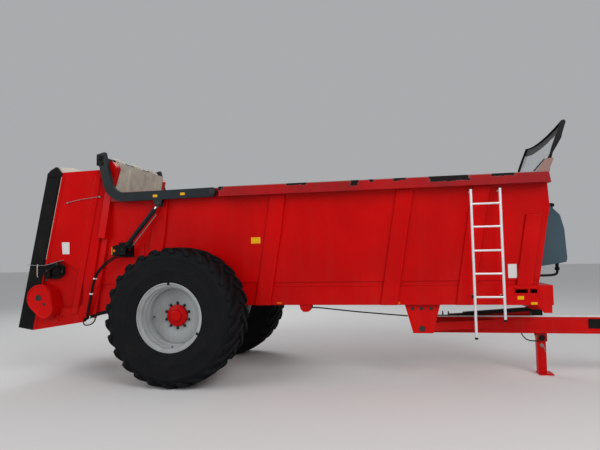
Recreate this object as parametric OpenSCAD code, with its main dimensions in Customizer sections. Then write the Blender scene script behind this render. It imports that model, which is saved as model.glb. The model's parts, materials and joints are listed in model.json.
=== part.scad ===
/* [Body] */
// Half width of the load space, inside the walls
body_in = 700; // [640:10:720]
// Thickness of the side and front walls
wall_t = 20; // [12:1:24]
// Angle by which ribs, posts and rear hood lean forward
lean = 9.5; // [6:0.5:12]
// Angle by which the upper side panels flare outward
flare = 8; // [4:1:9]
// Height of the fold between lower and upper side panels
fold_z = 2040; // [1900:10:2140]
// Height of the top of the rim rails
rim_z = 2690; // [2600:10:2800]
// Height of the rim rails themselves
rail_h = 138; // [110:2:160]
// Width of the rim rails ahead of the door arms
rail_w = 118; // [100:2:130]
// Height of the underside of the body
base_z = 1020; // [1015:1:1030]
// Height of the longerons
sill_h = 250; // [220:5:270]
// Width of the longerons
sill_w = 120; // [90:5:140]
// Depth of the side ribs
rib_d = 35; // [20:1:40]
// Width of the side ribs
rib_w = 240; // [180:10:280]
// Slope on each long side of a rib
rib_c = 12; // [4:1:30]

/* [Running gear] */
// Radius of the tyres over the lugs
tyre_r = 925; // [900:5:950]
// Width of the tyres
tyre_w = 680; // [600:10:690]
// Gap between the ribs and the inner faces of the tyres
tyre_gap = 29.5; // [20:0.5:60]
// Radius of the rim flanges
rim_r = 457; // [430:1:470]
// Width of the rims over the flanges
rim_w = 600; // [540:10:620]
// Number of wheel nuts on each wheel
nut_n = 10; // [8:1:12]
// Radius of the circle of wheel nuts
nut_pcr = 167.5; // [160:0.5:172]
// Radius of the wheel spindles
spindle_r = 45; // [40:1:50]
// Height of the axle beam
axle_h = 150; // [120:5:160]
// Number of lugs in each of a tyre's two rows
lug_n = 26; // [20:1:28]

/* [Rear] */
// Radius of the beaters over their flights
beater_r = 335; // [300:5:340]
// Distance of each beater's axis from the middle plane
beater_y = 360; // [345:5:380]
// Radius of the beaters' tubes
core_r = 85; // [70:5:100]
// Number of turns of each beater's flight
flight_n = 4; // [3:1:5]
// Number of teeth on each turn of a flight
tooth_n = 9; // [6:1:12]
// Height of the door arms' section
arm_h = 130; // [110:5:150]
// Thickness of the door arms
arm_t = 70; // [50:2:74]
// Gap between the narrow rail and the door arms
arm_gap = 14.5; // [8:0.5:16]

/* [Drawbar] */
// Distance from the axle to the towing eye
eye_x = 6550; // [6300:10:6800]
// Height of the towing eye
eye_z = 620; // [560:10:660]
// Radius of the towing eye's bore
eye_r = 25.5; // [20:0.5:30]
// Width of the drawbar
bar_w = 200; // [160:10:220]
// Height of the drawbar
bar_h = 220; // [180:10:240]

/* [Hidden] */
$fn = 64;

// Radial clearance of a shaft in its bearing
run = 0.05;
// Gap between two pieces that only rest on each other
seat = 0.3;
// Longer than anything that a cut goes through
far = 9000;

// Height of the axle in the frame of the sizes below; a larger tyre lifts the machine with it
axle_z = 925;
lift = tyre_r - axle_z;

body_out = body_in + wall_t;
rib_y = body_out + rib_d;
sill_in = body_out - sill_w;
sill_z = base_z + sill_h;
track = 2 * (rib_y + tyre_gap) + tyre_w;
// Thickness and height of the thin sheet in the groove above the longerons
groove_t = 6;
groove_h = 65;
// Top of the side walls and their outer and inner faces there
wall_top = rim_z - 4;
spread = (wall_top - fold_z) * tan(flare);
rail_in = body_out + (rim_z - fold_z) * tan(flare) + seat;
rail_out = rail_in + rail_w;
rail_z = rim_z - rail_h;
// The rail beside the door arms is only this wide
slim_w = 24;

// Front and rear ends of the whole machine, measured from the axle
x_front = eye_x + 62;
x_post0 = -1515;
flap_u = -930;
flap_w0 = -440;
x_rear = x_post0 + flap_u * cos(lean) + flap_w0 * sin(lean);
// Moves the axle's own frame so that the origin lies under the middle
shift = -(x_front + x_rear) / 2;

// Rear edge of the body and front edge of its lower wall, at height z
knee = [4870, 2250];
function x_rear_edge(z) = x_post0 + (z - base_z) * tan(lean);
function x_front_edge(z) = knee[0] - (knee[1] - z) * tan(lean);
// Front corner of the wall at the rim
x_rim = knee[0] - 40;
// Rear face and front face of the nose box
nose_x = [4300, 4860];
nose_y = rib_y;
nose_t = 10;
nose_slots = [[4410, 4560], [4590, 4670]];

// Ribs: [middle at the rail, height of the top, width]
ribs = [
    [-400, rail_z, rib_w],
    [1340, rail_z, rib_w],
    [3080, rail_z, rib_w],
    [4050, rail_z, rib_w],
    [4745, 2170, 210]
];
function rib_x(r, z) = r[0] - (rail_z - z) * tan(lean);

// Door arms: a straight part, a bend and an upright, then the pins as [x, z]
arm_in = rail_in + slim_w + arm_gap;
arm_out = arm_in + arm_t;
arm_pin = [420, 2620];
pivot_r = 25;
bend_r = 282;
bend = [-926, 2605 + bend_r];
bend_a = 76.3;
tube_pin = [-1310, 3200];
tube_r = 35;

// Lift cylinders
cyl_y = (arm_in + arm_out) / 2;
barrel_pin = [-950, 1840];
rod_pin = [-400, 2485];
cyl_l = norm(rod_pin - barrel_pin);
cyl_a = atan2(rod_pin[1] - barrel_pin[1], rod_pin[0] - barrel_pin[0]);
barrel_r = 32;
rod_r = 20;
lug_t = 12;
lug_gap = 5;
eye_w = arm_t - 2 * (lug_t + lug_gap);

// Floor conveyor
floor_z = 1210;
floor_t = 20;
chain_x = [-1470, 4180];
chain_y = 420;
chain_w = 30;
chain_z = 1196;
chain_r = [34, 66];
slat_t = [10, 16];
shaft_z = 1075;
shaft_r = 30;
shaft_hole = shaft_r + 4;

// Rear, in the frame that leans with the body's rear edge: [along, up]
beater_u = -420;
beater_w = [40, 1965];
bearing_r = [35, 30];
case_w = [20, 110];
beam_t = 30;
beam_w = [beater_w[1] - 3 - beam_t, beater_w[1] - 3];
// Plan of the hood's outer face, on the right: [along, across]
hood_t = 12;
hood_plan = [[-50 - seat, -body_out - 72], [-250, -body_out - 138], [-800, -body_out - 330]];
hood_out = [[-1240, 3050], [-1870, 2995], [-2320, 690], [-1520, 800]];
// X of the hood's rear edge at height z
function hood_edge(z) = hood_out[1][0] + (z - hood_out[1][1]) * (hood_out[2][0] - hood_out[1][0])
    / (hood_out[2][1] - hood_out[1][1]);
// Recess in each hood side behind the chain case
recess_z = [1000, 1592];
recess_out = [[hood_edge(recess_z[1]) + 14, recess_z[1]], [-1912, 1706], [-1640, 1500], [-1640, 1050],
    [-1712, recess_z[0]], [hood_edge(recess_z[0]) + 14, recess_z[0]]];
recess_d = 45;
recess_t = 8;
// Plan line of the hood's outer face; depth counts inward from it
hood_k = (hood_plan[2][1] - hood_plan[1][1]) / (hood_plan[2][0] - hood_plan[1][0]);
function hood_y(u, depth = 0) = hood_plan[1][1] + (u - hood_plan[1][0]) * hood_k + depth;
// Flap behind each hood side, and the strip inside that joins the two
flap_t = 10;
flap_top = [-2070, 2965];
flap_low = [x_rear, base_z - flap_u * sin(lean) + flap_w0 * cos(lean)];
strip_w = 50;
// Chain cases: two circles, [x, z, radius]
case_discs = [[-2150, 1158, 200], [-2070, 1015, 150]];
case_y = [-1120, -860];

// Drawbar
bar_x = [3220, 6200];
bar_z = [eye_z - 50, eye_z - 50 + bar_h];
// The leaf spring rises from the drawbar between these two places
spring_x = [3700, 4750];
spring_k = 78 / (spring_x[1] - spring_x[0]);
function spring_z(x) = bar_z[1] + spring_k * (min(max(x, spring_x[0]), spring_x[1]) - spring_x[0]);
leaf_t = 16;
yoke = [3250, 700];
yoke_r = 55;
bracket_y = [sill_in, sill_in + 55];
// Stand leg
stand_pin = [4870, bar_z[0] - 65];
stand_r = 18;
leg_w = 110;
leg_t = 12;
foot_t = 20;
ear_t = 12;

// Outline in X and Z, extruded from y0 to y1
module xz(pts, y0, y1) { translate([0, y1, 0]) rotate([90, 0, 0]) linear_extrude(y1 - y0) polygon(pts); }
// Outline in Y and Z, extruded from x0 to x1
module yz(pts, x0, x1) { translate([x0, 0, 0]) rotate([90, 0, 90]) linear_extrude(x1 - x0) polygon(pts); }
// Box between two corners
module box(a, b) { translate(a) cube(b - a); }
// Round bar between two points
module bar(a, b, r, n = 24) {
    d = b - a;
    l = norm(d);
    translate(a) rotate([0, acos(d[2] / l), atan2(d[1], d[0])]) cylinder(r = r, h = l, $fn = n);
}
// Round bar along Y
module ybar(x, z, r, y0, y1, n = 48) {
    translate([x, y1, z]) rotate([90, 0, 0]) cylinder(r = r, h = y1 - y0, $fn = n);
}
module frame() { translate([shift, 0, lift]) children(); }
module both() { children(); mirror([0, 1, 0]) children(); }
// Frame that leans with the rear of the body
module leaned() { translate([x_post0, 0, base_z]) rotate([0, lean, 0]) children(); }
// Closed skin through rings of as many points each
module loft(rings) {
    n = len(rings);
    m = len(rings[0]);
    polyhedron([for (ring = rings, p = ring) p], concat(
        [[for (k = [m - 1:-1:0]) k]],
        [for (i = [0:n - 2], k = [0:m - 1]) let (a = i * m, b = (k + 1) % m)
            each [[a + k, a + b, a + m + b], [a + k, a + m + b, a + m + k]]],
        [[for (k = [0:m - 1]) (n - 1) * m + k]]));
}
// Tube of radius r swept along points
module hose(pts, r, sides = 8) {
    n = len(pts);
    tang = [for (i = [0:n - 1]) let (d = pts[min(i + 1, n - 1)] - pts[max(i - 1, 0)]) d / norm(d)];
    loft([for (i = [0:n - 1]) let (t = tang[i], s = cross(t, [0, 1, 0]), u = s / norm(s), v = cross(t, u))
        [for (k = [0:sides - 1]) pts[i] + r * (cos(360 * k / sides) * u + sin(360 * k / sides) * v)]]);
}
// Outer face of the side walls at height z
function wall_y(z) = body_out + max(0, z - fold_z) * tan(flare);
// All that lies inside the outer faces of the side walls
module inside_walls() {
    yz([[-body_out, 0], [body_out, 0], [body_out, fold_z], [wall_y(far), far], [-wall_y(far), far],
        [-body_out, fold_z]], -far, far);
}
// Section of the load space inside its walls, in Y and Z
function space_in(top) = let (s = (top - fold_z) * tan(flare))
    [[-body_in, sill_z], [body_in, sill_z], [body_in, fold_z], [body_in + s, top], [-body_in - s, top],
        [-body_in, fold_z]];

// Body
module side_walls() {
    // One folded sheet a side, with a groove above the longeron, cut to the body's outline
    color("firebrick") frame() both() intersection() {
        yz([[-body_in - groove_t, sill_z], [-body_in - groove_t, sill_z + groove_h],
            [-body_out, sill_z + groove_h], [-body_out, fold_z], [-body_out - spread, wall_top],
            [-body_in - spread, wall_top], [-body_in, fold_z], [-body_in, sill_z]], -far / 2, far);
        xz([[x_rear_edge(base_z), base_z], [x_front_edge(base_z), base_z], knee, [x_rim, rim_z],
            [x_rear_edge(rim_z), rim_z]], -far, 0);
    }
}
// Ring of a rib's section at height z
function rib_ring(r, z) = let (x = rib_x(r, z), w = r[2] / 2, y = -body_out - max(0, z - fold_z) * tan(flare))
    [[x - w, y, z], [x + w, y, z], [x + w - rib_c, y - rib_d, z], [x - w + rib_c, y - rib_d, z]];
module side_ribs() {
    color("red") frame() both() for (r = ribs)
        loft([for (z = [r[1] < rail_z ? sill_z : base_z, fold_z, r[1]]) rib_ring(r, z)]);
}
module top_rails() {
    x_end = arm_pin[0] + 100;
    x_slim = arm_pin[0] - 60;
    slim_y = -rail_in - slim_w;
    color("firebrick") frame() both() {
        // Wide box ahead of the door arms' pivots, and a narrow one beside the arms, jointed behind the pivot
        xz([[x_end, rail_z], [x_rim + 24, rail_z], [x_rim, rim_z], [x_end, rim_z]], -rail_out, -rail_in);
        box([x_slim, slim_y, rail_z], [x_end + 5, -rail_in, rim_z]);
        xz([[x_rear_edge(rail_z) + 8, rail_z], [x_slim - seat, rail_z], [x_slim - seat, rim_z],
            [x_rear_edge(rim_z) + 8, rim_z]], slim_y, -rail_in);
        // Pivot pin of the door arm
        ybar(arm_pin[0], arm_pin[1], pivot_r, -arm_out - 10, -rail_in - slim_w / 2);
        // Gusset beside the post of the front screen
        xz([[x_rim - 150, rim_z], [x_rim, rim_z], [x_rim + 66, rim_z + 160], [x_rim - 24, rim_z + 160]],
            -rail_out, -rail_out + 12);
    }
}
module front_wall() {
    // One bent sheet, cut to the space between the side walls
    color("firebrick") frame() intersection() {
        xz([[x_front_edge(sill_z) - wall_t, sill_z], [x_front_edge(sill_z), sill_z], knee, [x_rim, wall_top],
            [x_rim - wall_t, wall_top], [knee[0] - wall_t, knee[1]]], -far, far);
        yz(space_in(wall_top), 0, far);
    }
}
module floor_pan() {
    color("dimgray") frame()
        box([chain_x[0] + 70, -sill_in, floor_z], [chain_x[1] - 70, sill_in, floor_z + floor_t]);
}
module cross_members() {
    color("maroon") frame() difference() {
        for (x = [-1350, -500, 700, 1600, 2500, 3400, 4200])
            box([x - 30, -sill_in, base_z + 6], [x + 30, sill_in, chain_z - chain_r[1] - slat_t[0]]);
        bar([-far, 0, shaft_z], [far, 0, shaft_z], shaft_hole);
    }
}
module longerons() {
    color("red") frame() both()
        xz([[x_rear_edge(base_z), base_z], [nose_x[0], base_z], [nose_x[0], sill_z],
            [x_rear_edge(sill_z), sill_z]],
            -body_out, -sill_in);
}
module nose_box() {
    color("red") frame() difference() {
        union() {
            difference() {
                box([nose_x[0], -nose_y, base_z], [nose_x[1], nose_y, sill_z]);
                box([nose_x[0] + nose_t, -nose_y + nose_t, base_z + nose_t],
                    [nose_x[1] - nose_t, nose_y - nose_t, sill_z - nose_t]);
                for (x = nose_slots) box([x[0], -far, 1170], [x[1], far, 1220]);
            }
            xz([[4660, base_z], [4700, 920], [4830, 920], [4830, base_z]], -300, 300);
        }
        bar([0, 0, shaft_z], [far, 0, shaft_z], shaft_hole);
    }
}
module rear_posts() {
    color("maroon") frame() both() leaned() {
        box([-50, -body_out - 40, -180], [60, -body_out, 1012]);
        box([-50, -rail_in - slim_w - 8, 1012], [60, -body_out, 1022]);
        box([-50, -rail_in - slim_w - 8, 1022], [60, -rail_in - slim_w - 1, 1700]);
    }
}
screen_y = rail_in + rail_w - 34;
screen_top = [5045, 3328];
screen_r = 16;
module front_screen() {
    color("black") frame() {
        both() difference() {
            bar([x_rim - 20, -screen_y, rim_z], [screen_top[0], -screen_y, screen_top[1]], screen_r);
            box([0, -far, 0], [far, 0, rim_z + seat]);
        }
        ybar(screen_high[0], screen_high[1], 12, -screen_y, screen_y);
        ybar(screen_low[0], screen_low[1], 12, -screen_y, screen_y);
    }
}
// Frame in the plane of the screen: X across, Z up the screen, Y through it
screen_low = [x_rim + 9, rim_z + 80];
screen_high = [screen_top[0] - 6, screen_top[1] - 20];
screen_l = norm(screen_high - screen_low);
module in_screen() {
    translate([screen_low[0], 0, screen_low[1]])
        rotate([0, atan2(screen_high[0] - screen_low[0], screen_high[1] - screen_low[1]), 0])
            rotate([0, 0, 90]) children();
}
wire_r = 3;
module screen_mesh() {
    edge = 12 + seat;
    y_end = screen_y - screen_r - seat;
    color("gray") frame() in_screen() {
        for (i = [-8:8]) translate([i * y_end / 8.5, 0, edge])
            cylinder(r = wire_r, h = screen_l - 2 * edge, $fn = 16);
        for (i = [1:6]) translate([-y_end, 2 * wire_r + 0.1, i * screen_l / 7]) rotate([0, 90, 0])
            cylinder(r = wire_r, h = 2 * y_end, $fn = 16);
    }
}
module front_tank() {
    w = 600;
    x_tank = knee[0] + 242;
    neck = [x_tank - 157, -w + 230];
    color("darkslategray") frame() {
        intersection() {
            xz([[x_front_edge(1500), 1500], [x_tank - 17, 1555], [x_tank, 1600], [x_tank - 27, 1980],
                [x_tank - 87, 2165], [x_tank - 197, 2285], [knee[0] + 6, 2285], knee], -w, w);
            // Bevelled corners in plan
            linear_extrude(far)
                polygon([[0, -w], [x_tank - 77, -w], [x_tank, -w + 70], [x_tank, w - 70], [x_tank - 77, w],
                    [0, w]]);
        }
        // Filler neck with its cap
        translate([neck[0], neck[1], 2150]) cylinder(r = 55, h = 150);
        translate([neck[0], neck[1], 2290]) cylinder(r = 68, h = 30);
    }
}

// Running gear
hub_l = 115;
beam_y = track / 2 - hub_l - 29.5;
module axle_beam() {
    z = [axle_z - axle_h / 2, axle_z + axle_h / 2];
    color("maroon") frame() {
        box([-75, -beam_y, z[0]], [75, beam_y, z[1]]);
        both() {
            box([-160, -body_out + 5, z[1]], [160, -sill_in - 5, base_z]);
            ybar(0, axle_z, 70, -beam_y - 18, -beam_y);
            ybar(0, axle_z, spindle_r, -track / 2 - 30, -beam_y);
        }
    }
}
// Wheel frame: its axis along local Z, outward to the right of the machine
module wheel_frame() { frame() translate([0, -track / 2, axle_z]) rotate([90, 0, 0]) children(); }
seat_r = rim_r - 44;
stud_r = 11;
nut_r = 18;
bead = [rim_w / 2 - 10, rim_w / 2 - 30];
// Half of the tyre's section, from its middle to its bead: [distance, radius, lug height, sweep of the lugs]
lug_h = 42;
tread_r = tyre_r - lug_h;
tyre_half = [[12, tread_r, 0, 0], [45, tread_r, lug_h, 2],
    [tyre_w / 2 - 34, tread_r - 16, 32, 15], [tyre_w / 2 - 5, tread_r - 50, 0, 17], [tyre_w / 2, 700, 0, 0],
    [bead[0], rim_r, 0, 0], [bead[1], seat_r, 0, 0]];
// Parts of a lug pitch: the two edges of the crest, then the two edges of the gap after it
lug_a = [0, 0.244, 0.322, 0.922];
lug_pitch = 360 / lug_n;
function tyre_ring(p, side) = let (even = p[1] < 800, r = even ? p[1] / cos(lug_pitch / 8) + run : p[1])
    [for (i = [0:4 * lug_n - 1]) let (k = i % 4,
        row = (floor(i / 4) + (side < 0 ? 0.5 : 0)) * lug_pitch,
        a = even ? i * lug_pitch / 4 : row + lug_a[k] * lug_pitch,
        t = -90 - a - p[3] + tyre_half[1][3], q = r + (k < 2 ? p[2] : 0))
        [q * cos(t), q * sin(t), side * p[0]]];
module tyre() {
    m = len(tyre_half);
    rings = concat([for (k = [m - 1:-1:0]) tyre_ring(tyre_half[k], -1)],
        [for (p = tyre_half) tyre_ring(p, 1)]);
    n = 4 * lug_n;
    polyhedron([for (ring = rings, p = ring) p], [for (j = [0:2 * m - 1], i = [0:n - 1])
        let (u = (j + 1) % (2 * m), v = (i + 1) % n)
            each [[j * n + i, j * n + v, u * n + v], [j * n + i, u * n + v, u * n + i]]]);
}
module rim() {
    e = rim_w / 2;
    rotate_extrude($fn = 96) polygon([
        [rim_r - 60, -e], [rim_r, -e], [rim_r, -bead[0]], [seat_r, -bead[1]], [seat_r, bead[1]],
        [rim_r, bead[0]], [rim_r, e], [rim_r - 18, e], [rim_r - 24, e - 20], [rim_r - 52, e - 36],
        [rim_r - 52, e - 104], [rim_r - 68, e - 112], [rim_r - 68, e - 184], [rim_r - 84, e - 192],
        [rim_r - 84, -e + 60], [rim_r - 60, -e + 50]]);
    difference() {
        translate([0, 0, -4]) cylinder(r = rim_r - 80, h = 16);
        translate([0, 0, -10]) cylinder(r = 140, h = 40);
        for (i = [0:nut_n - 1]) rotate([0, 0, 360 * i / nut_n]) translate([nut_pcr, 0, -10])
            cylinder(r = stud_r, h = 40, $fn = 24);
    }
}
module hub() {
    difference() {
        union() {
            translate([0, 0, -29]) cylinder(r = nut_pcr + 32, h = 25);
            translate([0, 0, -hub_l]) cylinder(r = 105, h = 100);
            translate([0, 0, -20]) cylinder(r = 128, h = 40);
            translate([0, 0, 15]) cylinder(r1 = 146, r2 = 128, h = 40);
            translate([0, 0, 50]) cylinder(r = 78, h = 45);
            for (i = [0:nut_n - 1]) rotate([0, 0, 360 * i / nut_n]) translate([nut_pcr, 0, -10]) {
                cylinder(r = stud_r, h = 50, $fn = 24);
                translate([0, 0, 22]) cylinder(r = nut_r, h = 20, $fn = 6);
            }
        }
        translate([0, 0, -hub_l - 5]) cylinder(r = spindle_r + run, h = hub_l + 45);
    }
}
module tyre_right() { color("dimgray") wheel_frame() tyre(); }
module rim_right() { color("silver") wheel_frame() rim(); }
module hub_right() { color("red") wheel_frame() hub(); }
module tyre_left() { color("dimgray") mirror([0, 1, 0]) wheel_frame() tyre(); }
module rim_left() { color("silver") mirror([0, 1, 0]) wheel_frame() rim(); }
module hub_left() { color("red") mirror([0, 1, 0]) wheel_frame() hub(); }

// Drawbar
module drawbar() {
    color("red") frame() {
        box([bar_x[0], -bar_w / 2, bar_z[0]], [bar_x[1], bar_w / 2, bar_z[1]]);
        ybar(yoke[0], yoke[1], yoke_r, -bracket_y[0], bracket_y[0]);
        both() translate([yoke[0], -bracket_y[0] + 40, yoke[1] - yoke_r]) rotate([0, 0, 24])
            cube([1180, 80, 2 * yoke_r]);
        // Web under the leaf spring
        xz([[spring_x[0] + 60, bar_z[1] - 1], [4740, bar_z[1] - 1], [4740, spring_z(4740) - seat],
            [spring_x[0] + 60, spring_z(spring_x[0] + 60) - seat]], -30, 30);
        box([bar_x[1], -bar_w / 2 - 10, bar_z[0] - 40], [bar_x[1] + 30, bar_w / 2 + 10, bar_z[1] + 10]);
    }
}
module drawbar_brackets() {
    color("maroon") frame() both()
        xz([[3030, base_z], [3490, base_z], [3390, 640], [3130, 640]], -bracket_y[1], -bracket_y[0]);
}
module drawbar_spring() {
    top = bar_z[1];
    color("black") frame() {
        // Three leaves, each shorter than the one below it
        xz([[3430, top], [spring_x[0], top], [spring_x[1], spring_z(spring_x[1])], [4900, spring_z(4900)],
            [4900, spring_z(4900) + 3 * leaf_t], [spring_x[1], spring_z(spring_x[1]) + 3 * leaf_t],
            [3850, spring_z(3850) + 3 * leaf_t], [3850, spring_z(3850) + 2 * leaf_t],
            [3640, top + 2 * leaf_t],
            [3640, top + leaf_t], [3430, top + leaf_t]], -50, 50);
        box([4760, -60, top], [4900, 60, spring_z(4900) + 3 * leaf_t + 2]);
    }
}
module towing_eye() {
    color("dimgray") frame() difference() {
        union() {
            translate([eye_x, 0, eye_z - 21]) cylinder(r = 62, h = 42);
            bar([bar_x[1] + 70, 0, eye_z], [eye_x - 50, 0, eye_z], 18);
            box([bar_x[1] + 30, -70, eye_z - 60], [bar_x[1] + 75, 70, eye_z + 60]);
        }
        translate([eye_x, 0, eye_z - 40]) cylinder(r = eye_r, h = 80);
    }
}
module stand_bracket() {
    ear = leg_w / 2 + 7;
    p = stand_pin;
    color("maroon") frame() both() {
        xz([[p[0] - 70, bar_z[0]], [p[0] + 70, bar_z[0]], [p[0] + 70, p[1] - 50], [p[0] - 40, p[1] - 50]],
            -ear - ear_t, -ear);
        ybar(p[0], p[1], stand_r, -ear - ear_t - 8, 0);
        // Stop in front of the leg
        box([p[0] + leg_w / 2 + 6, -ear, p[1] - 40], [p[0] + 70, 0, bar_z[0]]);
    }
}
module stand_leg() {
    w = leg_w / 2;
    p = stand_pin;
    color("maroon") frame() difference() {
        union() {
            box([p[0] - w, -w, 15 - lift], [p[0] + w, w, p[1]]);
            ybar(p[0], p[1], w, -w, w);
            box([p[0] - w, -100, -lift], [p[0] + 130, 100, foot_t - lift]);
        }
        ybar(p[0], p[1], stand_r + run, -far, far);
        box([p[0] - w + leg_t, -w + leg_t, foot_t + 0.5 - lift], [p[0] + w - leg_t, w - leg_t, p[1] - w]);
    }
}

// Drive
module input_gearbox() {
    color("dimgray") frame() {
        box([nose_x[1], -110, shaft_z - 90], [nose_x[1] + 110, 110, shaft_z + 90]);
        bar([nose_x[1] + 100, 0, shaft_z], [nose_x[1] + 195, 0, shaft_z], 17.45);
    }
}
module drive_shaft() {
    color("black") frame() difference() {
        bar([x_post0 - 200, 0, shaft_z], [nose_x[1], 0, shaft_z], shaft_r);
        leaned() box([-far, -far, -far], [-95, far, far]);
    }
}
module rear_gearbox() {
    color("dimgray") frame() leaned() difference() {
        union() {
            box([beater_u - 150, -640, -40], [beater_u + 150, 640, case_w[1]]);
            box([beater_u + 120, -90, -10], [-95, 90, 90]);
            both() box([beater_u - 100, -720, -20], [beater_u + 100, -635, 80]);
        }
        both() translate([beater_u, -beater_y, case_w[0]]) cylinder(r = bearing_r[0] + run, h = far);
    }
}
module beater() {
    low = 125;
    tube_top = beater_w[1] - 59;
    flight_w = [285, tube_top - 26];
    step = 20;
    // The flight hugs the tube, so its inner corners stand out by the sag of a step
    r_in = (core_r + seat) / cos(step / 2);
    r_out = beater_r - 30;
    rise = (flight_w[1] - flight_w[0]) * step / 360 / flight_n;
    flight_t = 12;
    tooth = [65, 44, 20];
    slope = atan(rise * 360 / step / (2 * PI * r_out));
    leaned() translate([beater_u, 0, 0]) {
        translate([0, 0, beater_w[0]]) cylinder(r = bearing_r[0], h = 80);
        translate([0, 0, low - 9]) cylinder(r = core_r, h = tube_top - low + 9);
        translate([0, 0, low]) cylinder(r = beater_r, h = 12);
        translate([0, 0, tube_top - 6]) cylinder(r = bearing_r[1], h = beater_w[1] - tube_top + 6);
        loft([for (i = [0:flight_n * 360 / step])
            let (c = cos(i * step), t = sin(i * step), w = flight_w[0] + i * rise)
            [[r_in * c, r_in * t, w], [r_out * c, r_out * t, w],
                [r_out * c, r_out * t, w + flight_t], [r_in * c, r_in * t, w + flight_t]]]);
        // Teeth along the flight's edge, tilted with it
        for (i = [0.5:1:flight_n * tooth_n]) let (a = i * 360 / tooth_n) rotate([0, 0, a])
            translate([beater_r - tooth[0] - 1, 0, flight_w[0] + flight_t / 2 + a / step * rise])
                rotate([slope, 0, 0]) translate([0, -tooth[1] / 2, -tooth[2] / 2]) cube(tooth);
        // Paddles on the bottom disc
        for (a = [0, 90, 180, 270]) rotate([0, 0, a])
            box([core_r - 8, -6, low + 6], [beater_r - 12, 6, low + 130]);
    }
}
module beater_right() { color("firebrick") frame() translate([0, -beater_y, 0]) beater(); }
module beater_left() { color("firebrick") frame() translate([0, beater_y, 0]) mirror([0, 1, 0]) beater(); }

// Rear hood
// Chain case: two discs and the piece between their common tangents
module case_solid(y0, y1, grow = 0) {
    a = case_discs[0];
    b = case_discs[1];
    d = [b[0] - a[0], b[1] - a[1]];
    side = acos((a[2] - b[2]) / norm(d));
    turn = atan2(d[1], d[0]);
    function touch(c, t) = [c[0] + (c[2] + grow) * cos(t), c[1] + (c[2] + grow) * sin(t)];
    for (c = case_discs) ybar(c[0], c[1], c[2] + grow, y0, y1);
    xz([touch(a, turn - side), touch(b, turn - side), touch(b, turn + side), touch(a, turn + side)], y0, y1);
}
// All on the inner side, or the outer side, of the right hood's plane at a depth
module behind_hood(depth) {
    leaned() translate([0, 0, -far / 2]) linear_extrude(far)
        polygon([[-far, hood_y(-far, depth)], [far, hood_y(far, depth)], [far, 2 * far], [-far, 2 * far]]);
}
module outside_hood(depth) {
    leaned() translate([0, 0, -far / 2]) linear_extrude(far)
        polygon([[-far, hood_y(-far, depth)], [far, hood_y(far, depth)], [far, -2 * far], [-far, -2 * far]]);
}
// Sheet that lies in the hood's plane between two depths, cut to an outline in X and Z
module hood_sheet(outline, d0, d1) {
    intersection() {
        leaned() translate([0, 0, -700]) linear_extrude(2900)
            polygon([[-1100, hood_y(-1100, d0)], [-60, hood_y(-60, d0)], [-60, hood_y(-60, d1)],
                [-1100, hood_y(-1100, d1)]]);
        xz(outline, -far, 0);
    }
}
// Inner face of the hood in plan
function hood_inner() = [for (p = hood_plan) p + [0, hood_t]];
// Outline moved out by d, for a convex outline about the recess's middle
function grown(pts, d) = let (m = [-1900, 1300])
    [for (p = pts) p + d * [sign(p[0] - m[0]), sign(p[1] - m[1])]];
module hood_side() {
    top = hood_out[1];
    low = hood_out[2];
    inner = hood_inner();
    fold = hood_plan[0] + [-hood_t, hood_t];
    difference() {
        intersection() {
            leaned() translate([0, 0, -700]) linear_extrude(2900)
                polygon(concat([[hood_plan[0][0], -body_out - seat]], hood_plan,
                    [inner[2], inner[1], fold, [fold[0], -body_out - seat]]));
            xz(hood_out, -far, 0);
        }
        xz(recess_out, -far, 0);
    }
    // Pan of the recess: its walls and its floor
    intersection() {
        difference() {
            hood_sheet(grown(recess_out, recess_t), 1, recess_d + recess_t);
            hood_sheet(recess_out, 0, recess_d);
        }
        xz(hood_out, -far, 0);
    }
    hood_sheet([[top[0] + strip_w, top[1] - strip_w], [top[0] - strip_w, top[1] - strip_w],
        [hood_edge(1750), 1750], [hood_edge(1750) + strip_w, 1750]], flap_t + 1, flap_t + 11);
    hood_sheet([[hood_edge(960) + strip_w, 960], [hood_edge(960) - strip_w, 960],
        [low[0] - strip_w, low[1] + strip_w], [low[0] + strip_w, low[1] + strip_w]], flap_t + 1, flap_t + 11);
}
module hood_sides() { color("red") frame() both() hood_side(); }
module top_beam() {
    e = [for (p = hood_inner()) p + [0, seat]];
    k = (e[2][1] - e[1][1]) / (e[2][0] - e[1][0]);
    u0 = -680;
    y0 = e[1][1] + (u0 - e[1][0]) * k;
    color("lightgray") frame() leaned() difference() {
        translate([0, 0, beam_w[0]]) linear_extrude(beam_w[1] - beam_w[0])
            polygon([[u0, y0], e[1], [e[1][0], -e[1][1]], [u0, -y0]]);
        both() translate([beater_u, -beater_y, 0]) cylinder(r = bearing_r[1] + run, h = far);
    }
}
module deflectors() {
    color("black") frame() both()
        hood_sheet([hood_out[1] - [seat, 0], flap_top, flap_low, hood_out[2] - [seat, 0]], 0, flap_t);
}
module chain_cases() {
    color("red") frame() both() difference() {
        union() {
            difference() {
                case_solid(case_y[0], case_y[1]);
                case_solid(-far, case_y[0] + 18, -24);
            }
            ybar(case_discs[0][0], case_discs[0][1], 62, case_y[0], case_y[1]);
            ybar(case_discs[1][0], case_discs[1][1], 40, case_y[0], case_y[1]);
        }
        // It stands on the flap and the hood's edge, and a narrower part reaches into the recess
        difference() {
            behind_hood(-seat);
            xz([[hood_edge(recess_z[0]) + 18, recess_z[0] + 8],
                [hood_edge(recess_z[1]) + 18, recess_z[1] - 8],
                [-1990, recess_z[1] - 8], [-1990, recess_z[0] + 8]], -far, far);
        }
        behind_hood(recess_d - seat);
    }
}
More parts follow.
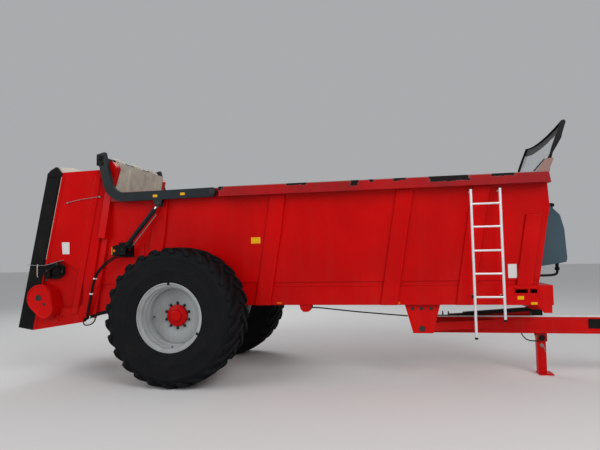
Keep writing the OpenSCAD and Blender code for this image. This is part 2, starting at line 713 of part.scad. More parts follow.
// It ends on the hood's inner faces, ahead of the strips there
bar_rear = [[-2240, 735], [-2160, 815]];
module rear_bar() {
    color("maroon") frame() difference() {
        box([bar_rear[0][0], -far / 4, bar_rear[0][1]], [bar_rear[1][0], far / 4, bar_rear[1][1]]);
        both() outside_hood(hood_t + seat);
    }
}
module tail_lamps() {
    color("darkred") frame() both()
        box([bar_rear[0][0] - 35, -900, bar_rear[0][1] + 5], [bar_rear[0][0], -700, bar_rear[1][1] - 5]);
}

// Floor conveyor
module floor_chains() {
    y = [-chain_y - chain_w / 2, -chain_y + chain_w / 2];
    color("gray") frame() both() difference() {
        union() {
            box([chain_x[0], y[0], chain_z - chain_r[1]], [chain_x[1], y[1], chain_z + chain_r[1]]);
            for (x = chain_x) ybar(x, chain_z, chain_r[1], y[0], y[1]);
        }
        box([chain_x[0], -far, chain_z - chain_r[0]], [chain_x[1], far, chain_z + chain_r[0]]);
        for (x = chain_x) ybar(x, chain_z, chain_r[0], -far, far);
    }
}
module floor_slats() {
    top = chain_z + chain_r[1];
    low = chain_z - chain_r[1];
    color("gray") frame() for (i = [0:15]) {
        box([-1400 + i * 360, -580, top], [-1350 + i * 360, 580, top + slat_t[1]]);
        box([-1220 + i * 350, -580, low - slat_t[0]], [-1170 + i * 350, 580, low]);
    }
}
module conveyor_shafts() {
    color("dimgray") frame() for (x = chain_x) {
        ybar(x, chain_z, chain_r[0] - 0.5, -sill_in, sill_in);
        // Flanges beside each chain wheel, and bearings at the ends
        both() for (y = [-chain_y - chain_w / 2 - 9, -chain_y + chain_w / 2 + 1])
            ybar(x, chain_z, 58, y, y + 8);
    }
}

// Fittings
ladder_y = rail_out + 30;
module ladder() {
    color("silver") frame() {
        bar([3890, -ladder_y, 620], [3890, -ladder_y, 2510], 17);
        bar([4240, -ladder_y, 840], [4240, -ladder_y, 2510], 17);
        for (z = [1140, 1430, 1720, 2020, 2310]) bar([3890, -ladder_y, z], [4240, -ladder_y, z], 13);
        difference() {
            for (x = [3890, 4240]) ybar(x, 2480, 10, -ladder_y, -body_out);
            inside_walls();
        }
        // The rear stile stands off the rib, the front one off the longeron
        ybar(3890, 1150, 10, -ladder_y, -rib_y);
        ybar(4240, 1150, 10, -ladder_y, -body_out);
    }
}
module cylinder_brackets() {
    p = barrel_pin;
    color("black") frame() both() difference() {
        union() {
            box([p[0] - 170, -body_out - 12, p[1] - 110], [p[0] + 80, -body_out, p[1] + 110]);
            for (y = [-arm_out - 10, -arm_in + 4])
                xz([[p[0] - 100, p[1] - 80], [p[0] + 50, p[1] - 80], [p[0] + 55, p[1] + 60],
                    [p[0] - 100, p[1] + 60]], y - 6, y + 6);
            box([p[0] - 110, -arm_out - 16, p[1] - 90], [p[0] - 90, -body_out, p[1] + 70]);
        }
        ybar(p[0], p[1], 15 + run, -far, 0);
    }
}
lift_route = [[-1065, -840, 1760], [-1160, -845, 1720], [-1280, -850, 1640], [-1380, -850, 1540],
    [-1440, -850, 1430], [-1480, -845, 1320], [-1510, -835, 1200], [-1540, -825, 1080], [-1575, -815, 960],
    [-1590, -810, 860]];
module lift_hose() { color("black") frame() hose(lift_route, 11); }
brake_y = -628;
brake_route = [for (p = [[1600, base_z - 1], [1601, 1000], [1640, 984], [1860, 975], [2100, 950], [2400, 920],
    [2700, 895], [2950, 875], [3067, 866]]) [p[0], brake_y, p[1]]];
module brake_line() { color("black") frame() hose(brake_route, 10); }

// Door and its lift
module door_arm() {
    h = arm_h / 2;
    p = arm_pin;
    translate([0, -arm_out, 0]) rotate([90, 0, 0]) mirror([0, 0, 1]) linear_extrude(arm_t) {
        polygon([[bend[0] - 4, bend[1] - bend_r - h], [p[0] + 20, p[1] - h], [p[0] + 60, p[1]],
            [p[0] + 20, p[1] + h], [bend[0] - 4, bend[1] - bend_r + h]]);
        intersection() {
            translate(bend) difference() {
                circle(r = bend_r + h, $fn = 96);
                circle(r = bend_r - h, $fn = 96);
            }
            translate(bend)
                polygon([[4, 2], [4, -600], [-600, -600], -600 * [sin(bend_a + 0.3), cos(bend_a + 0.3)]]);
        }
        translate([-1200, 2820]) rotate(180 - bend_a) translate([-8, -h]) square([470, arm_h]);
    }
}
module door_arms() {
    p = rod_pin;
    lug = [[p[0] - 70, p[1] + 75], [p[0] + 70, p[1] + 75], [p[0] + 40, p[1] - 40], [p[0] - 40, p[1] - 40]];
    color("darkslategray") frame() {
        both() difference() {
            union() {
                door_arm();
                // Lugs for the lift cylinder, with the heads of its pin
                xz(lug, -arm_out, -arm_out + lug_t);
                xz(lug, -arm_in - lug_t, -arm_in);
                ybar(p[0], p[1], 24, -arm_out - 8, -arm_out + lug_t);
            }
            ybar(arm_pin[0], arm_pin[1], pivot_r + run, -far, 0);
        }
        ybar(tube_pin[0], tube_pin[1], tube_r, -arm_in - 5, arm_in + 5);
    }
}
module door_panel() {
    color("silver") frame() {
        leaned() {
            box([25, -body_in + 15, 275], [60, body_in - 15, 2165]);
            // Stiffeners on its inner side
            both() box([55, 395, 330], [90, 455, 2100]);
        }
        difference() {
            for (y = [-560, -20, 520])
                xz([[-1118, 3100], [-1118, 3140], [-1170, 3200], [-1300, 3262], [-1370, 3215],
                    [-1330, 3140], [-1240, 3120], [-1160, 3050]], y, y + 40);
            ybar(tube_pin[0], tube_pin[1], tube_r + run, -far, far);
        }
    }
}
// Frame of a lift cylinder: its axis along local X from the lower pin
module cyl_frame() { translate([barrel_pin[0], -cyl_y, barrel_pin[1]]) rotate([0, -cyl_a, 0]) children(); }
module lift_barrels() {
    color("darkslategray") frame() both() {
        ybar(barrel_pin[0], barrel_pin[1], 15, -arm_out - 10, -arm_in + 16);
        cyl_frame() difference() {
            union() {
                rotate([0, 90, 0]) cylinder(r = barrel_r, h = cyl_l - 90);
                translate([cyl_l - 135, 0, 0]) rotate([0, 90, 0]) cylinder(r = barrel_r + 4, h = 45);
                // Oil ports
                for (x = [70, cyl_l - 150]) translate([x, 0, -barrel_r - 12])
                    cylinder(r = 11, h = 30, $fn = 24);
                translate([0, 30, 0]) rotate([90, 0, 0]) cylinder(r = barrel_r + 2, h = 60);
            }
            translate([60, 0, 0]) rotate([0, 90, 0]) cylinder(r = rod_r + run, h = cyl_l);
        }
    }
}
module lift_rods() {
    color("silver") frame() both() cyl_frame() difference() {
        union() {
            translate([70, 0, 0]) rotate([0, 90, 0]) cylinder(r = rod_r, h = cyl_l - 70);
            translate([cyl_l, eye_w / 2, 0]) rotate([90, 0, 0]) cylinder(r = 30, h = eye_w);
        }
        translate([cyl_l, eye_w, 0]) rotate([90, 0, 0]) cylinder(r = 15, h = 2 * eye_w);
    }
}

side_walls();
side_ribs();
top_rails();
front_wall();
floor_pan();
cross_members();
longerons();
nose_box();
rear_posts();
front_screen();
screen_mesh();
front_tank();
axle_beam();
drawbar();
drawbar_brackets();
drawbar_spring();
towing_eye();
stand_bracket();
stand_leg();
input_gearbox();
drive_shaft();
rear_gearbox();
hood_sides();
top_beam();
deflectors();
chain_cases();
rear_bar();
tail_lamps();
floor_chains();
floor_slats();
conveyor_shafts();
ladder();
cylinder_brackets();
lift_hose();
brake_line();
beater_right();
beater_left();
door_arms();
door_panel();
lift_barrels();
lift_rods();
tyre_right();
rim_right();
hub_right();
tyre_left();
rim_left();
hub_left();
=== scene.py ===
"""Looks of a towed manure spreader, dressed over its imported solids.

The machine stands in its own frame: +X forward to the towing eye, +Y to its left, +Z up, in metres,
with the origin on the ground under its middle. Every piece is built at its place in that frame. Its sizes
and places are written in millimetres, measured from the axle, and turned into that frame by at().
"""
from __future__ import annotations

import json
import logging
import math
from dataclasses import dataclass
from enum import Enum
from typing import Callable, ClassVar, Iterable, Sequence, Union

import bmesh
import bpy
from mathutils import Matrix, Vector

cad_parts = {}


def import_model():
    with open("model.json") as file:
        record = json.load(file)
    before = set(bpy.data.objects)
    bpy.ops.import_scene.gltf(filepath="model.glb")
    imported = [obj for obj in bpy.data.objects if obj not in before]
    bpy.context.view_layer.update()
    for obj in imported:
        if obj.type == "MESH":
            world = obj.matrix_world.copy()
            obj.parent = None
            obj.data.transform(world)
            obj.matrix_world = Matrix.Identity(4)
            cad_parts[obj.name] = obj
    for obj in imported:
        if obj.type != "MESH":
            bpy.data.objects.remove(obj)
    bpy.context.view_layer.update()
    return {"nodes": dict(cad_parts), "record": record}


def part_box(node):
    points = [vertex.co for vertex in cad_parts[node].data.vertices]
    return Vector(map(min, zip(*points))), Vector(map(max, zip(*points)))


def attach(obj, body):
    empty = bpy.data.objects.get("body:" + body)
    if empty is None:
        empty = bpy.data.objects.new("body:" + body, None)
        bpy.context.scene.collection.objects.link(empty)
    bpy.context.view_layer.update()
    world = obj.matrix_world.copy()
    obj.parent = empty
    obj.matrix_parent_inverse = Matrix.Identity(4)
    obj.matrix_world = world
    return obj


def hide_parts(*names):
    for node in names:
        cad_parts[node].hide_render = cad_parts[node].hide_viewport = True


LOG = logging.getLogger("spreader")

Point = tuple[float, float, float]
Flat = tuple[float, float]
Colour = tuple[float, float, float]
Line = Sequence[Flat]
Route = Sequence[Point]

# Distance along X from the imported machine's middle to its axle
SHIFT = -2.053567
RIGHT: Point = (0.0, -1.0, 0.0)
LEFT: Point = (0.0, 1.0, 0.0)
UP: Point = (0.0, 0.0, 1.0)
SIDES = (-1.0, 1.0)
# Lean of the frame of rear posts and door, and the outer faces of wall and rail in millimetres
LEAN = math.radians(9.5)
WALL_Y = 720
RAIL_Y = 929.7


def lin(red: int, green: int, blue: int) -> Colour:
    """Return a display colour of 0 to 255 a channel as linear values."""
    def channel(value: float) -> float:
        """Return one channel as a linear value."""
        value /= 255.0
        return value / 12.92 if value <= 0.04045 else ((value + 0.055) / 1.055) ** 2.4
    return (channel(red), channel(green), channel(blue))


def operator(operation: str, swapped: bool = False) -> Callable:
    """Return a method that joins a socket and a value by a Math node."""
    def apply(sock: "Sock", other: "Value") -> "Sock":
        """Return the Math node's result."""
        left, right = (other, sock) if swapped else (sock, other)
        return sock.sheet.node("ShaderNodeMath", {"operation": operation}, {0: left, 1: right})
    return apply


class Sock:
    """A shader socket that takes part in arithmetic."""

    def __init__(self, sheet: "Sheet", out: bpy.types.NodeSocket) -> None:
        """Keep the sheet of nodes and the output socket."""
        self.sheet = sheet
        self.out = out

    __add__ = __radd__ = operator("ADD")
    __sub__ = operator("SUBTRACT")
    __rsub__ = operator("SUBTRACT", True)
    __mul__ = operator("MULTIPLY")

    def size(self) -> "Sock":
        """Return the value without its sign."""
        return self.sheet.node("ShaderNodeMath", {"operation": "ABSOLUTE"}, {0: self})

    def clamp(self) -> "Sock":
        """Return the value held between 0 and 1."""
        return self.sheet.node("ShaderNodeClamp", {}, {0: self})


Value = Union[Sock, float, int, Sequence[float]]


class Sheet:
    """A material's sheet of shader nodes."""

    def __init__(self, name: str) -> None:
        """Start an empty material with a shader and its output."""
        self.material = bpy.data.materials.new(name)
        self.material.use_nodes = True
        self.nodes = self.material.node_tree.nodes
        self.links = self.material.node_tree.links
        self.nodes.clear()
        self.bsdf = self.nodes.new("ShaderNodeBsdfPrincipled")
        output = self.nodes.new("ShaderNodeOutputMaterial")
        self.links.new(self.bsdf.outputs[0], output.inputs[0])
        self.place = self.node("ShaderNodeTexCoord", {}, {}, "Object")

    def node(self, kind: str, settings: dict, inputs: dict, output: Union[int, str] = 0) -> Sock:
        """Add a node and return one of its outputs.

        Args:
            kind: the node's type.
            settings: attributes set before the sockets.
            inputs: values or sockets by input name or number.
            output: name or number of the output to return.

        Returns:
            The chosen output as a socket.
        """
        made = self.nodes.new(kind)
        for key, value in settings.items():
            setattr(made, key, value)
        for key, value in inputs.items():
            self.feed(made.inputs[key], value)
        return Sock(self, made.outputs[output])

    def feed(self, socket: bpy.types.NodeSocket, value: Value) -> None:
        """Link or set an input socket."""
        if isinstance(value, Sock):
            self.links.new(value.out, socket)
        elif isinstance(value, (int, float)):
            socket.default_value = value
        else:
            value = tuple(value)
            if len(socket.default_value) == 4 and len(value) == 3:
                value += (1.0,)
            socket.default_value = value

    def shade(self, **sockets: Value) -> None:
        """Feed the shader's own sockets, named with underscores for spaces."""
        for key, value in sockets.items():
            self.feed(self.bsdf.inputs[key.replace("_", " ")], value)

    def noise(self, scale: float, detail: float = 3.0, rough: float = 0.55, stretch: Point = (1, 1, 1)) -> Sock:
        """Return a noise value of about 0 to 1 in object space."""
        where = self.node("ShaderNodeMapping", {}, {"Vector": self.place, "Scale": stretch})
        return self.node("ShaderNodeTexNoise", {}, {"Vector": where, "Scale": scale, "Detail": detail,
                                                    "Roughness": rough}, "Fac")

    def axis(self, name: str) -> Sock:
        """Return the X, Y or Z of the place on the object."""
        return self.node("ShaderNodeSeparateXYZ", {}, {0: self.place}, name)

    def ramp(self, value: Value, low: float, high: float) -> Sock:
        """Return 0 below low, 1 above high and a smooth rise between."""
        return self.node("ShaderNodeMapRange", {"interpolation_type": "SMOOTHSTEP"},
                         {"Value": value, "From Min": low, "From Max": high})

    def mix(self, mask: Value, under: Value, over: Value) -> Sock:
        """Return a colour mixed from two by a mask."""
        return self.node("ShaderNodeMix", {"data_type": "RGBA"}, {0: mask, 6: under, 7: over}, 2)

    def bump(self, height: Value, distance: float, strength: float) -> Sock:
        """Return a normal bumped by a height, in metres."""
        return self.node("ShaderNodeBump", {}, {"Height": height, "Distance": distance, "Strength": strength},
                         "Normal")


@dataclass(frozen=True)
class Paint:
    """Sprayed paint with orange peel, dust, rain streaks and chips."""

    name: str
    slot: str
    colour: Colour
    shade: Colour
    gloss: float = 0.32
    dust: float = 0.25
    shine: float = 0.10

    def make(self) -> bpy.types.Material:
        """Return the paint as a material."""
        sheet = Sheet(self.name)
        broad = sheet.noise(0.9, 4.0)
        streaks = sheet.ramp(sheet.noise(9.0, 4.0, 0.6, (1.0, 1.0, 0.10)), 0.42, 0.75)
        fine = sheet.noise(140.0, 2.0)
        base = sheet.mix(sheet.ramp(broad, 0.3, 0.7), self.shade, self.colour)
        height = sheet.axis("Z")
        low = 1.0 - sheet.ramp(height, 0.5, 1.9)
        grime = ((low * 0.75 + 0.25) * streaks * self.dust).clamp()
        base = sheet.mix(grime, base, lin(112, 84, 66))
        rough = self.gloss + grime * 0.5 + fine * 0.05
        worn, bare = self.wear(sheet)
        base = sheet.mix(worn, base, bare)
        sheet.shade(Base_Color=base, Roughness=rough + worn * 0.2, Coat_Roughness=0.12,
                    Normal=sheet.bump(sheet.noise(60.0, 2.0), 0.0006, 0.4))
        sheet.bsdf.inputs["Coat Weight"].default_value = 0.04
        sheet.bsdf.inputs["Specular IOR Level"].default_value = self.shine
        return sheet.material

    def wear(self, sheet: Sheet) -> tuple[Value, Value]:
        """Return where the paint is gone and the colour there: small specks of dirt."""
        specks = sheet.ramp(sheet.noise(34.0, 6.0, 0.7), 0.70, 0.76)
        return specks * 0.35, lin(60, 34, 30)


@dataclass(frozen=True)
class RailPaint(Paint):
    """Paint of the loading edge: a bare top line and dark rubbed places that hang from it."""

    top: float = 2.690
    # Middle, half length and depth of each rubbed place along the rail
    rubs: tuple[tuple[float, float, float], ...] = (
        (-1.509, 0.055, 0.060), (-0.404, 0.150, 0.036), (0.361, 0.060, 0.080), (0.600, 0.050, 0.045),
        (0.966, 0.090, 0.040), (1.590, 0.260, 0.075), (2.230, 0.150, 0.040))

    def wear(self, sheet: Sheet) -> tuple[Value, Value]:
        """Return the rubbed places and the bare line, and their colour."""
        height = sheet.axis("Z")
        along = sheet.axis("X")
        ragged = (sheet.noise(22.0, 5.0, 0.65) - 0.5) * 0.16
        near_top = sheet.ramp(height, self.top - 0.05, self.top)
        places = sheet.ramp(sheet.noise(7.0, 6.0, 0.7), 0.66, 0.72) * near_top
        for middle, half, depth in self.rubs:
            places = places + (sheet.ramp(ragged - (along - middle).size(), -half, 0.02 - half)
                               * sheet.ramp(height + ragged * 0.4, self.top - depth, self.top - depth + 0.008))
        line = sheet.ramp(height, self.top - 0.012, self.top - 0.004)
        tone = sheet.mix(places.clamp(), lin(146, 128, 122), lin(26, 20, 20))
        return (places + line * 0.75).clamp(), tone


@dataclass(frozen=True)
class WallPaint(Paint):
    """Paint of the body's walls, scoured bare on their inner faces."""

    inner: float = 0.704
    fold: float = 2.040
    flare: float = 0.1405

    def wear(self, sheet: Sheet) -> tuple[Value, Value]:
        """Return the bare inner faces and their stained colour."""
        depth = sheet.axis("Y").size() - (sheet.axis("Z") - self.fold).clamp() * self.flare
        above = sheet.ramp(sheet.axis("Z"), 1.335, 1.345)
        inside = (1.0 - sheet.ramp(depth, self.inner, self.inner + 0.008)) * above
        stains = sheet.noise(3.0, 7.0, 0.7, (1.0, 1.0, 0.35))
        tone = sheet.mix(sheet.ramp(stains, 0.4, 0.7), lin(150, 138, 124), lin(88, 66, 52))
        return inside * sheet.ramp(stains, 0.30, 0.55), tone


@dataclass(frozen=True)
class Metal:
    """Bare or plated metal with scratches and dull patches."""

    name: str
    slot: str
    colour: Colour
    tarnish: Colour
    gloss: float = 0.35
    metallic: float = 0.9
    wear: float = 0.5

    def make(self) -> bpy.types.Material:
        """Return the metal as a material."""
        sheet = Sheet(self.name)
        patches = sheet.ramp(sheet.noise(5.0, 6.0, 0.65), 0.5 - self.wear * 0.15, 0.75)
        scratch = sheet.noise(45.0, 4.0, 0.7, (1.0, 1.0, 6.0))
        base = sheet.mix((patches * self.wear).clamp(), self.colour, self.tarnish)
        sheet.shade(Base_Color=base, Roughness=self.gloss + patches * 0.3 + scratch * 0.15,
                    Metallic=self.metallic - patches * (0.5 * self.wear),
                    Normal=sheet.bump(scratch, 0.0006, 0.4))
        return sheet.material


@dataclass(frozen=True)
class Rubber:
    """Rubber with a dry bloom and mud in the low places."""

    name: str
    slot: str
    colour: Colour
    mud: Colour
    mud_amount: float = 0.4
    gloss: float = 0.7
    shine: float = 0.15

    def make(self) -> bpy.types.Material:
        """Return the rubber as a material."""
        sheet = Sheet(self.name)
        patches = sheet.ramp(sheet.noise(6.0, 7.0, 0.65), 0.45, 0.7)
        base = sheet.mix((patches * self.mud_amount).clamp(), self.colour, self.mud)
        sheet.shade(Base_Color=base, Roughness=self.gloss + patches * 0.2,
                    Normal=sheet.bump(sheet.noise(90.0, 4.0), 0.0012, 0.5))
        sheet.bsdf.inputs["Specular IOR Level"].default_value = self.shine
        return sheet.material


class Finish(Enum):
    """The finishes that the machine's pieces take."""

    BODY = Paint("body_paint", "body_red", lin(204, 0, 2), lin(184, 0, 1), 0.34, 0.10)
    WALL = WallPaint("wall_paint", "body_red", lin(204, 0, 2), lin(184, 0, 1), 0.34, 0.10)
    RAIL = RailPaint("rail_paint", "body_red", lin(180, 14, 20), lin(138, 26, 30), 0.42, 0.20)
    CHASSIS = Paint("chassis_paint", "dark_red", lin(150, 6, 8), lin(120, 5, 7), 0.46, 0.5)
    SLATE = Paint("slate_paint", "slate", lin(34, 42, 46), lin(26, 33, 37), 0.45, 0.16)
    TANK = Paint("tank_paint", "slate", lin(72, 92, 102), lin(58, 76, 86), 0.40, 0.20)
    BLACK = Paint("black_paint", "black_steel", lin(14, 14, 15), lin(8, 8, 9), 0.45, 0.20)
    # White paint of the blank plates, also put on the drawbar's top pipe as a painted highlight of the sun's
    # glare
    WHITE = Paint("white_plate", "ladder_alu", lin(225, 225, 222), lin(205, 206, 204), 0.4, 0.15)
    RIM = Paint("rim_paint", "rim_silver", lin(178, 182, 183), lin(140, 144, 145), 0.36, 0.30)
    WORN = Metal("worn_plate", "worn_steel", lin(206, 198, 184), lin(150, 132, 116), 0.55, 0.25, 0.7)
    STEEL = Metal("plain_steel", "mesh_steel", lin(150, 150, 150), lin(96, 84, 74), 0.4, 0.85, 0.6)
    CHROME = Metal("chromed_rod", "rod_chrome", lin(225, 226, 228), lin(180, 180, 180), 0.14, 1.0, 0.2)
    ALUMINIUM = Metal("ladder_metal", "ladder_alu", lin(226, 228, 230), lin(196, 196, 194), 0.35, 0.55, 0.35)
    GALVANISED = Metal("galvanised_wire", "mesh_steel", lin(190, 194, 198), lin(150, 152, 154), 0.5, 0.35, 0.3)
    CAST = Metal("cast_iron", "cast", lin(56, 56, 58), lin(88, 66, 52), 0.6, 0.6, 0.5)
    RUBBER = Rubber("soft_rubber", "black_rubber", lin(12, 12, 13), lin(48, 42, 38), 0.3, 0.62)
    TYRE = Rubber("tyre_compound", "tyre_rubber", lin(12, 14, 17), lin(40, 38, 38), 0.35, 0.72)
    YELLOW = Paint("yellow_label", "lamp_red", lin(236, 178, 24), lin(220, 160, 20), 0.4, 0.15)
    AMBER = Paint("amber_lens", "lamp_red", lin(240, 110, 12), lin(222, 92, 8), 0.12, 0.1)
    LAMP = Paint("red_lens", "lamp_red", lin(150, 8, 8), lin(120, 6, 6), 0.15, 0.1)

    def material(self) -> bpy.types.Material:
        """Return this finish's material, made on its first use."""
        return bpy.data.materials.get(self.value.name) or self.value.make()


# CAD nodes that are shown as they are
KEPT: dict[str, Finish] = {"floor_pan": Finish.WORN, "drive_shaft": Finish.BLACK, "ladder": Finish.ALUMINIUM}

# CAD nodes shown through a copy with rounded edges, by finish, and the width of the rounding in millimetres
ROUNDED: dict[Finish, dict[str, float]] = {
    Finish.WALL: {"side_walls": 3},
    Finish.BODY: {"side_ribs": 8, "front_wall": 4, "longerons": 8, "nose_box": 5, "rear_posts": 4, "drawbar": 8,
                  "drawbar_brackets": 4, "stand_leg": 4, "hood_sides": 2, "chain_cases": 8},
    Finish.RAIL: {"top_rails": 10},
    Finish.CHASSIS: {"cross_members": 5, "axle_beam": 8, "stand_bracket": 3, "rear_bar": 6, "beater_right": 1.5,
                     "beater_left": 1.5},
    Finish.WORN: {"top_beam": 3, "door_panel": 4, "floor_slats": 2},
    Finish.RUBBER: {"deflectors": 2},
    Finish.SLATE: {"door_arms": 6},
    Finish.BLACK: {"cylinder_brackets": 3, "drawbar_spring": 3},
    Finish.CAST: {"input_gearbox": 6, "rear_gearbox": 8, "towing_eye": 4},
    Finish.TANK: {"front_tank": 12},
    Finish.STEEL: {"conveyor_shafts": 2},
}


def at(x: float, y: float, z: float) -> Vector:
    """Return a place in millimetres from the axle as one in metres in the machine's frame."""
    return Vector((x / 1000 + SHIFT, y / 1000, z / 1000))


def leaning(along: float, y: float, up: float) -> Vector:
    """Return a place of the frame that leans with the rear posts and the door, in the machine's frame."""
    return at(-1515 + along * math.cos(LEAN) + up * math.sin(LEAN), y,
              1020 - along * math.sin(LEAN) + up * math.cos(LEAN))


def about(centre: Point, move: Matrix) -> Matrix:
    """Return a move that is made about a place and not about the origin."""
    middle = Matrix.Translation(at(*centre))
    return middle @ move @ middle.inverted()


class Shape:
    """A mesh modelled in edit mode, in millimetres from the axle, that keeps its place in its own points."""

    def __init__(self, name: str) -> None:
        """Take the active object and bake its place into its mesh."""
        self.obj = bpy.context.object
        self.obj.name = name
        self.obj.data.name = name
        bpy.ops.object.transform_apply(location=True, rotation=True, scale=True)

    @staticmethod
    def clear() -> None:
        """Leave nothing selected."""
        bpy.ops.object.select_all(action="DESELECT")

    @classmethod
    def block(cls, name: str, low: Point, high: Point) -> "Shape":
        """Return a box between two corners."""
        cls.clear()
        first, second = at(*low), at(*high)
        bpy.ops.mesh.primitive_cube_add(size=1.0, location=(first + second) / 2, scale=second - first)
        return cls(name)

    @classmethod
    def beside(cls, name: str, sign: float, low: Point, high: Point) -> "Shape":
        """Return a box of the left side, or with a sign of -1 its twin on the right."""
        near, far = sorted((sign * low[1], sign * high[1]))
        return cls.block(name, (low[0], near, low[2]), (high[0], far, high[2]))

    @classmethod
    def rod(cls, name: str, start: Point, end: Point, radius: float, sides: int) -> "Shape":
        """Return a round bar between two places."""
        cls.clear()
        first, second = at(*start), at(*end)
        turn = (second - first).to_track_quat("Z", "Y").to_euler()
        bpy.ops.mesh.primitive_cylinder_add(vertices=sides, radius=radius / 1000, depth=(second - first).length,
                                            location=(first + second) / 2, rotation=turn)
        return cls(name)

    @classmethod
    def turned(cls, name: str, profile: Line, centre: Point, axis: Point, steps: int,
               closed: bool = False) -> "Shape":
        """Return a shape turned on a lathe.

        Args:
            name: the piece's name.
            profile: radius and distance along the axis, point by point.
            centre: a place on the axis.
            axis: the axis's direction.
            steps: sides of the finished shape.
            closed: whether the profile's last point joins its first.

        Returns:
            The turned shape, with its faces outward.
        """
        cls.clear()
        origin = at(*centre)
        along = Vector(axis).normalized()
        out = along.orthogonal().normalized()
        points = [origin + out * radius / 1000 + along * distance / 1000 for radius, distance in profile]
        if closed:
            points.append(points[0])
        bpy.ops.mesh.primitive_plane_add(size=0.01, location=points[0])
        shape = cls(name)
        bpy.context.tool_settings.mesh_select_mode = (True, False, False)
        bpy.ops.object.mode_set(mode="EDIT")
        bpy.ops.mesh.select_all(action="SELECT")
        bpy.ops.mesh.merge(type="CENTER")
        for before, after in zip(points, points[1:]):
            bpy.ops.mesh.extrude_vertices_move(TRANSFORM_OT_translate={"value": after - before})
        bpy.ops.mesh.select_all(action="SELECT")
        bpy.ops.mesh.remove_doubles(threshold=1e-5)
        bpy.ops.mesh.spin(steps=steps, angle=math.tau, center=origin, axis=along)
        bpy.ops.object.mode_set(mode="OBJECT")
        return shape.close()

    @classmethod
    def swept(cls, name: str, rings: Sequence[Sequence[Vector]]) -> "Shape":
        """Return a closed skin drawn ring by ring with extrude, through rings in the machine's frame."""
        cls.clear()
        bpy.ops.mesh.primitive_circle_add(vertices=len(rings[0]), fill_type="NGON")
        shape = cls(name)
        bpy.ops.object.mode_set(mode="EDIT")
        bpy.ops.mesh.select_all(action="SELECT")
        cage = bmesh.from_edit_mesh(shape.obj.data)
        for corner, point in zip(list(cage.verts), rings[0]):
            corner.co = point
        for before, after in zip(rings, rings[1:]):
            bpy.ops.mesh.extrude_region_move()
            cage = bmesh.from_edit_mesh(shape.obj.data)
            for corner in [vert for vert in cage.verts if vert.select]:
                nearest = min(range(len(before)), key=lambda k: (corner.co - before[k]).length_squared)
                corner.co = after[nearest]
        bmesh.update_edit_mesh(shape.obj.data)
        bpy.ops.object.mode_set(mode="OBJECT")
        return shape.close()

    @classmethod
    def plate(cls, name: str, outline: Line, place: Callable[[float, float], Vector], depth: Vector) -> "Shape":
        """Return an outline extruded to a plate.

        Args:
            name: the piece's name.
            outline: the outline's corners in its own plane.
            place: gives the place in the machine's frame of a corner.
            depth: the plate's thickness as a vector in metres.

        Returns:
            The plate, with its faces outward.
        """
        ring = [place(*corner) for corner in outline]
        return cls.swept(name, [ring, [corner + depth for corner in ring]])

    @classmethod
    def slab(cls, name: str, outline: Line, y: float, thick: float) -> "Shape":
        """Return a plate that stands in the machine's length, from Y on and so thick."""
        return cls.plate(name, outline, lambda x, z: at(x, y, z), Vector((0.0, thick / 1000, 0.0)))

    @classmethod
    def pipe(cls, name: str, points: Sequence[Point], radius: float, sides: int = 10, fine: int = 4) -> "Shape":
        """Return a round pipe along a smooth line through points."""
        path = smooth_path([at(*point) for point in points], fine)
        return cls.swept(name, tube_rings(path, radius, sides))

    @classmethod
    def of_node(cls, name: str, node: bpy.types.Object) -> "Shape":
        """Return a copy of a CAD node with its doubles merged and its flat faces whole."""
        twin = bpy.data.objects.new(name, node.data.copy())
        bpy.context.collection.objects.link(twin)
        cls.clear()
        twin.select_set(True)
        bpy.context.view_layer.objects.active = twin
        return cls(name).close().pick().run(bpy.ops.mesh.dissolve_limited, angle_limit=math.radians(0.5))

    @classmethod
    def bolts(cls, name: str, places: Sequence[Point], out: Point, radius: float) -> "Shape":
        """Return hexagon heads on washers, as one mesh.

        Args:
            name: the piece's name.
            places: where the bolts stand.
            out: the way that their heads face.
            radius: half the width of a head over its corners.
        """
        way = Vector(out).normalized()
        first = Vector(places[0])
        head = cls.rod(name, first + way * radius * 0.1, first + way * radius * 0.95, radius, 6)
        head.pick(way, 0.9).inset(radius * 0.22, radius * 0.12)
        head.join([cls.rod("washer", first - way, first + way * radius * 0.25, radius * 1.4, 16)])
        return head.spread([Matrix.Translation(at(*place) - at(*first)) for place in places]).smooth()

    @staticmethod
    def merged(shapes: Sequence["Shape"]) -> "Shape":
        """Return the first of some shapes with the others joined into it."""
        return shapes[0].join(shapes[1:])

    def focus(self) -> None:
        """Make this the only selected and active object."""
        self.clear()
        self.obj.select_set(True)
        bpy.context.view_layer.objects.active = self.obj

    def close(self) -> "Shape":
        """Merge doubles and turn the faces outward."""
        self.focus()
        bpy.ops.object.mode_set(mode="EDIT")
        bpy.ops.mesh.select_all(action="SELECT")
        bpy.ops.mesh.remove_doubles(threshold=1e-5)
        bpy.ops.mesh.normals_make_consistent(inside=False)
        bpy.ops.object.mode_set(mode="OBJECT")
        return self

    def pick(self, way: Point = UP, least: float = -2.0) -> "Shape":
        """Select the faces whose normal has more than so much of a direction, or else all of them."""
        self.focus()
        bpy.context.tool_settings.mesh_select_mode = (False, False, True)
        self.run(bpy.ops.mesh.select_all, action="DESELECT")
        for face in self.obj.data.polygons:
            face.select = face.normal.dot(Vector(way)) > least
        return self

    def run(self, step: Callable, **settings: object) -> "Shape":
        """Run an edit-mode operator on what is selected."""
        bpy.ops.object.mode_set(mode="EDIT")
        step(**settings)
        bpy.ops.object.mode_set(mode="OBJECT")
        return self

    def inset(self, width: float, depth: float = 0.0) -> "Shape":
        """Inset the selected faces, and sink or raise them by a depth."""
        return self.run(bpy.ops.mesh.inset, thickness=width / 1000, depth=depth / 1000)

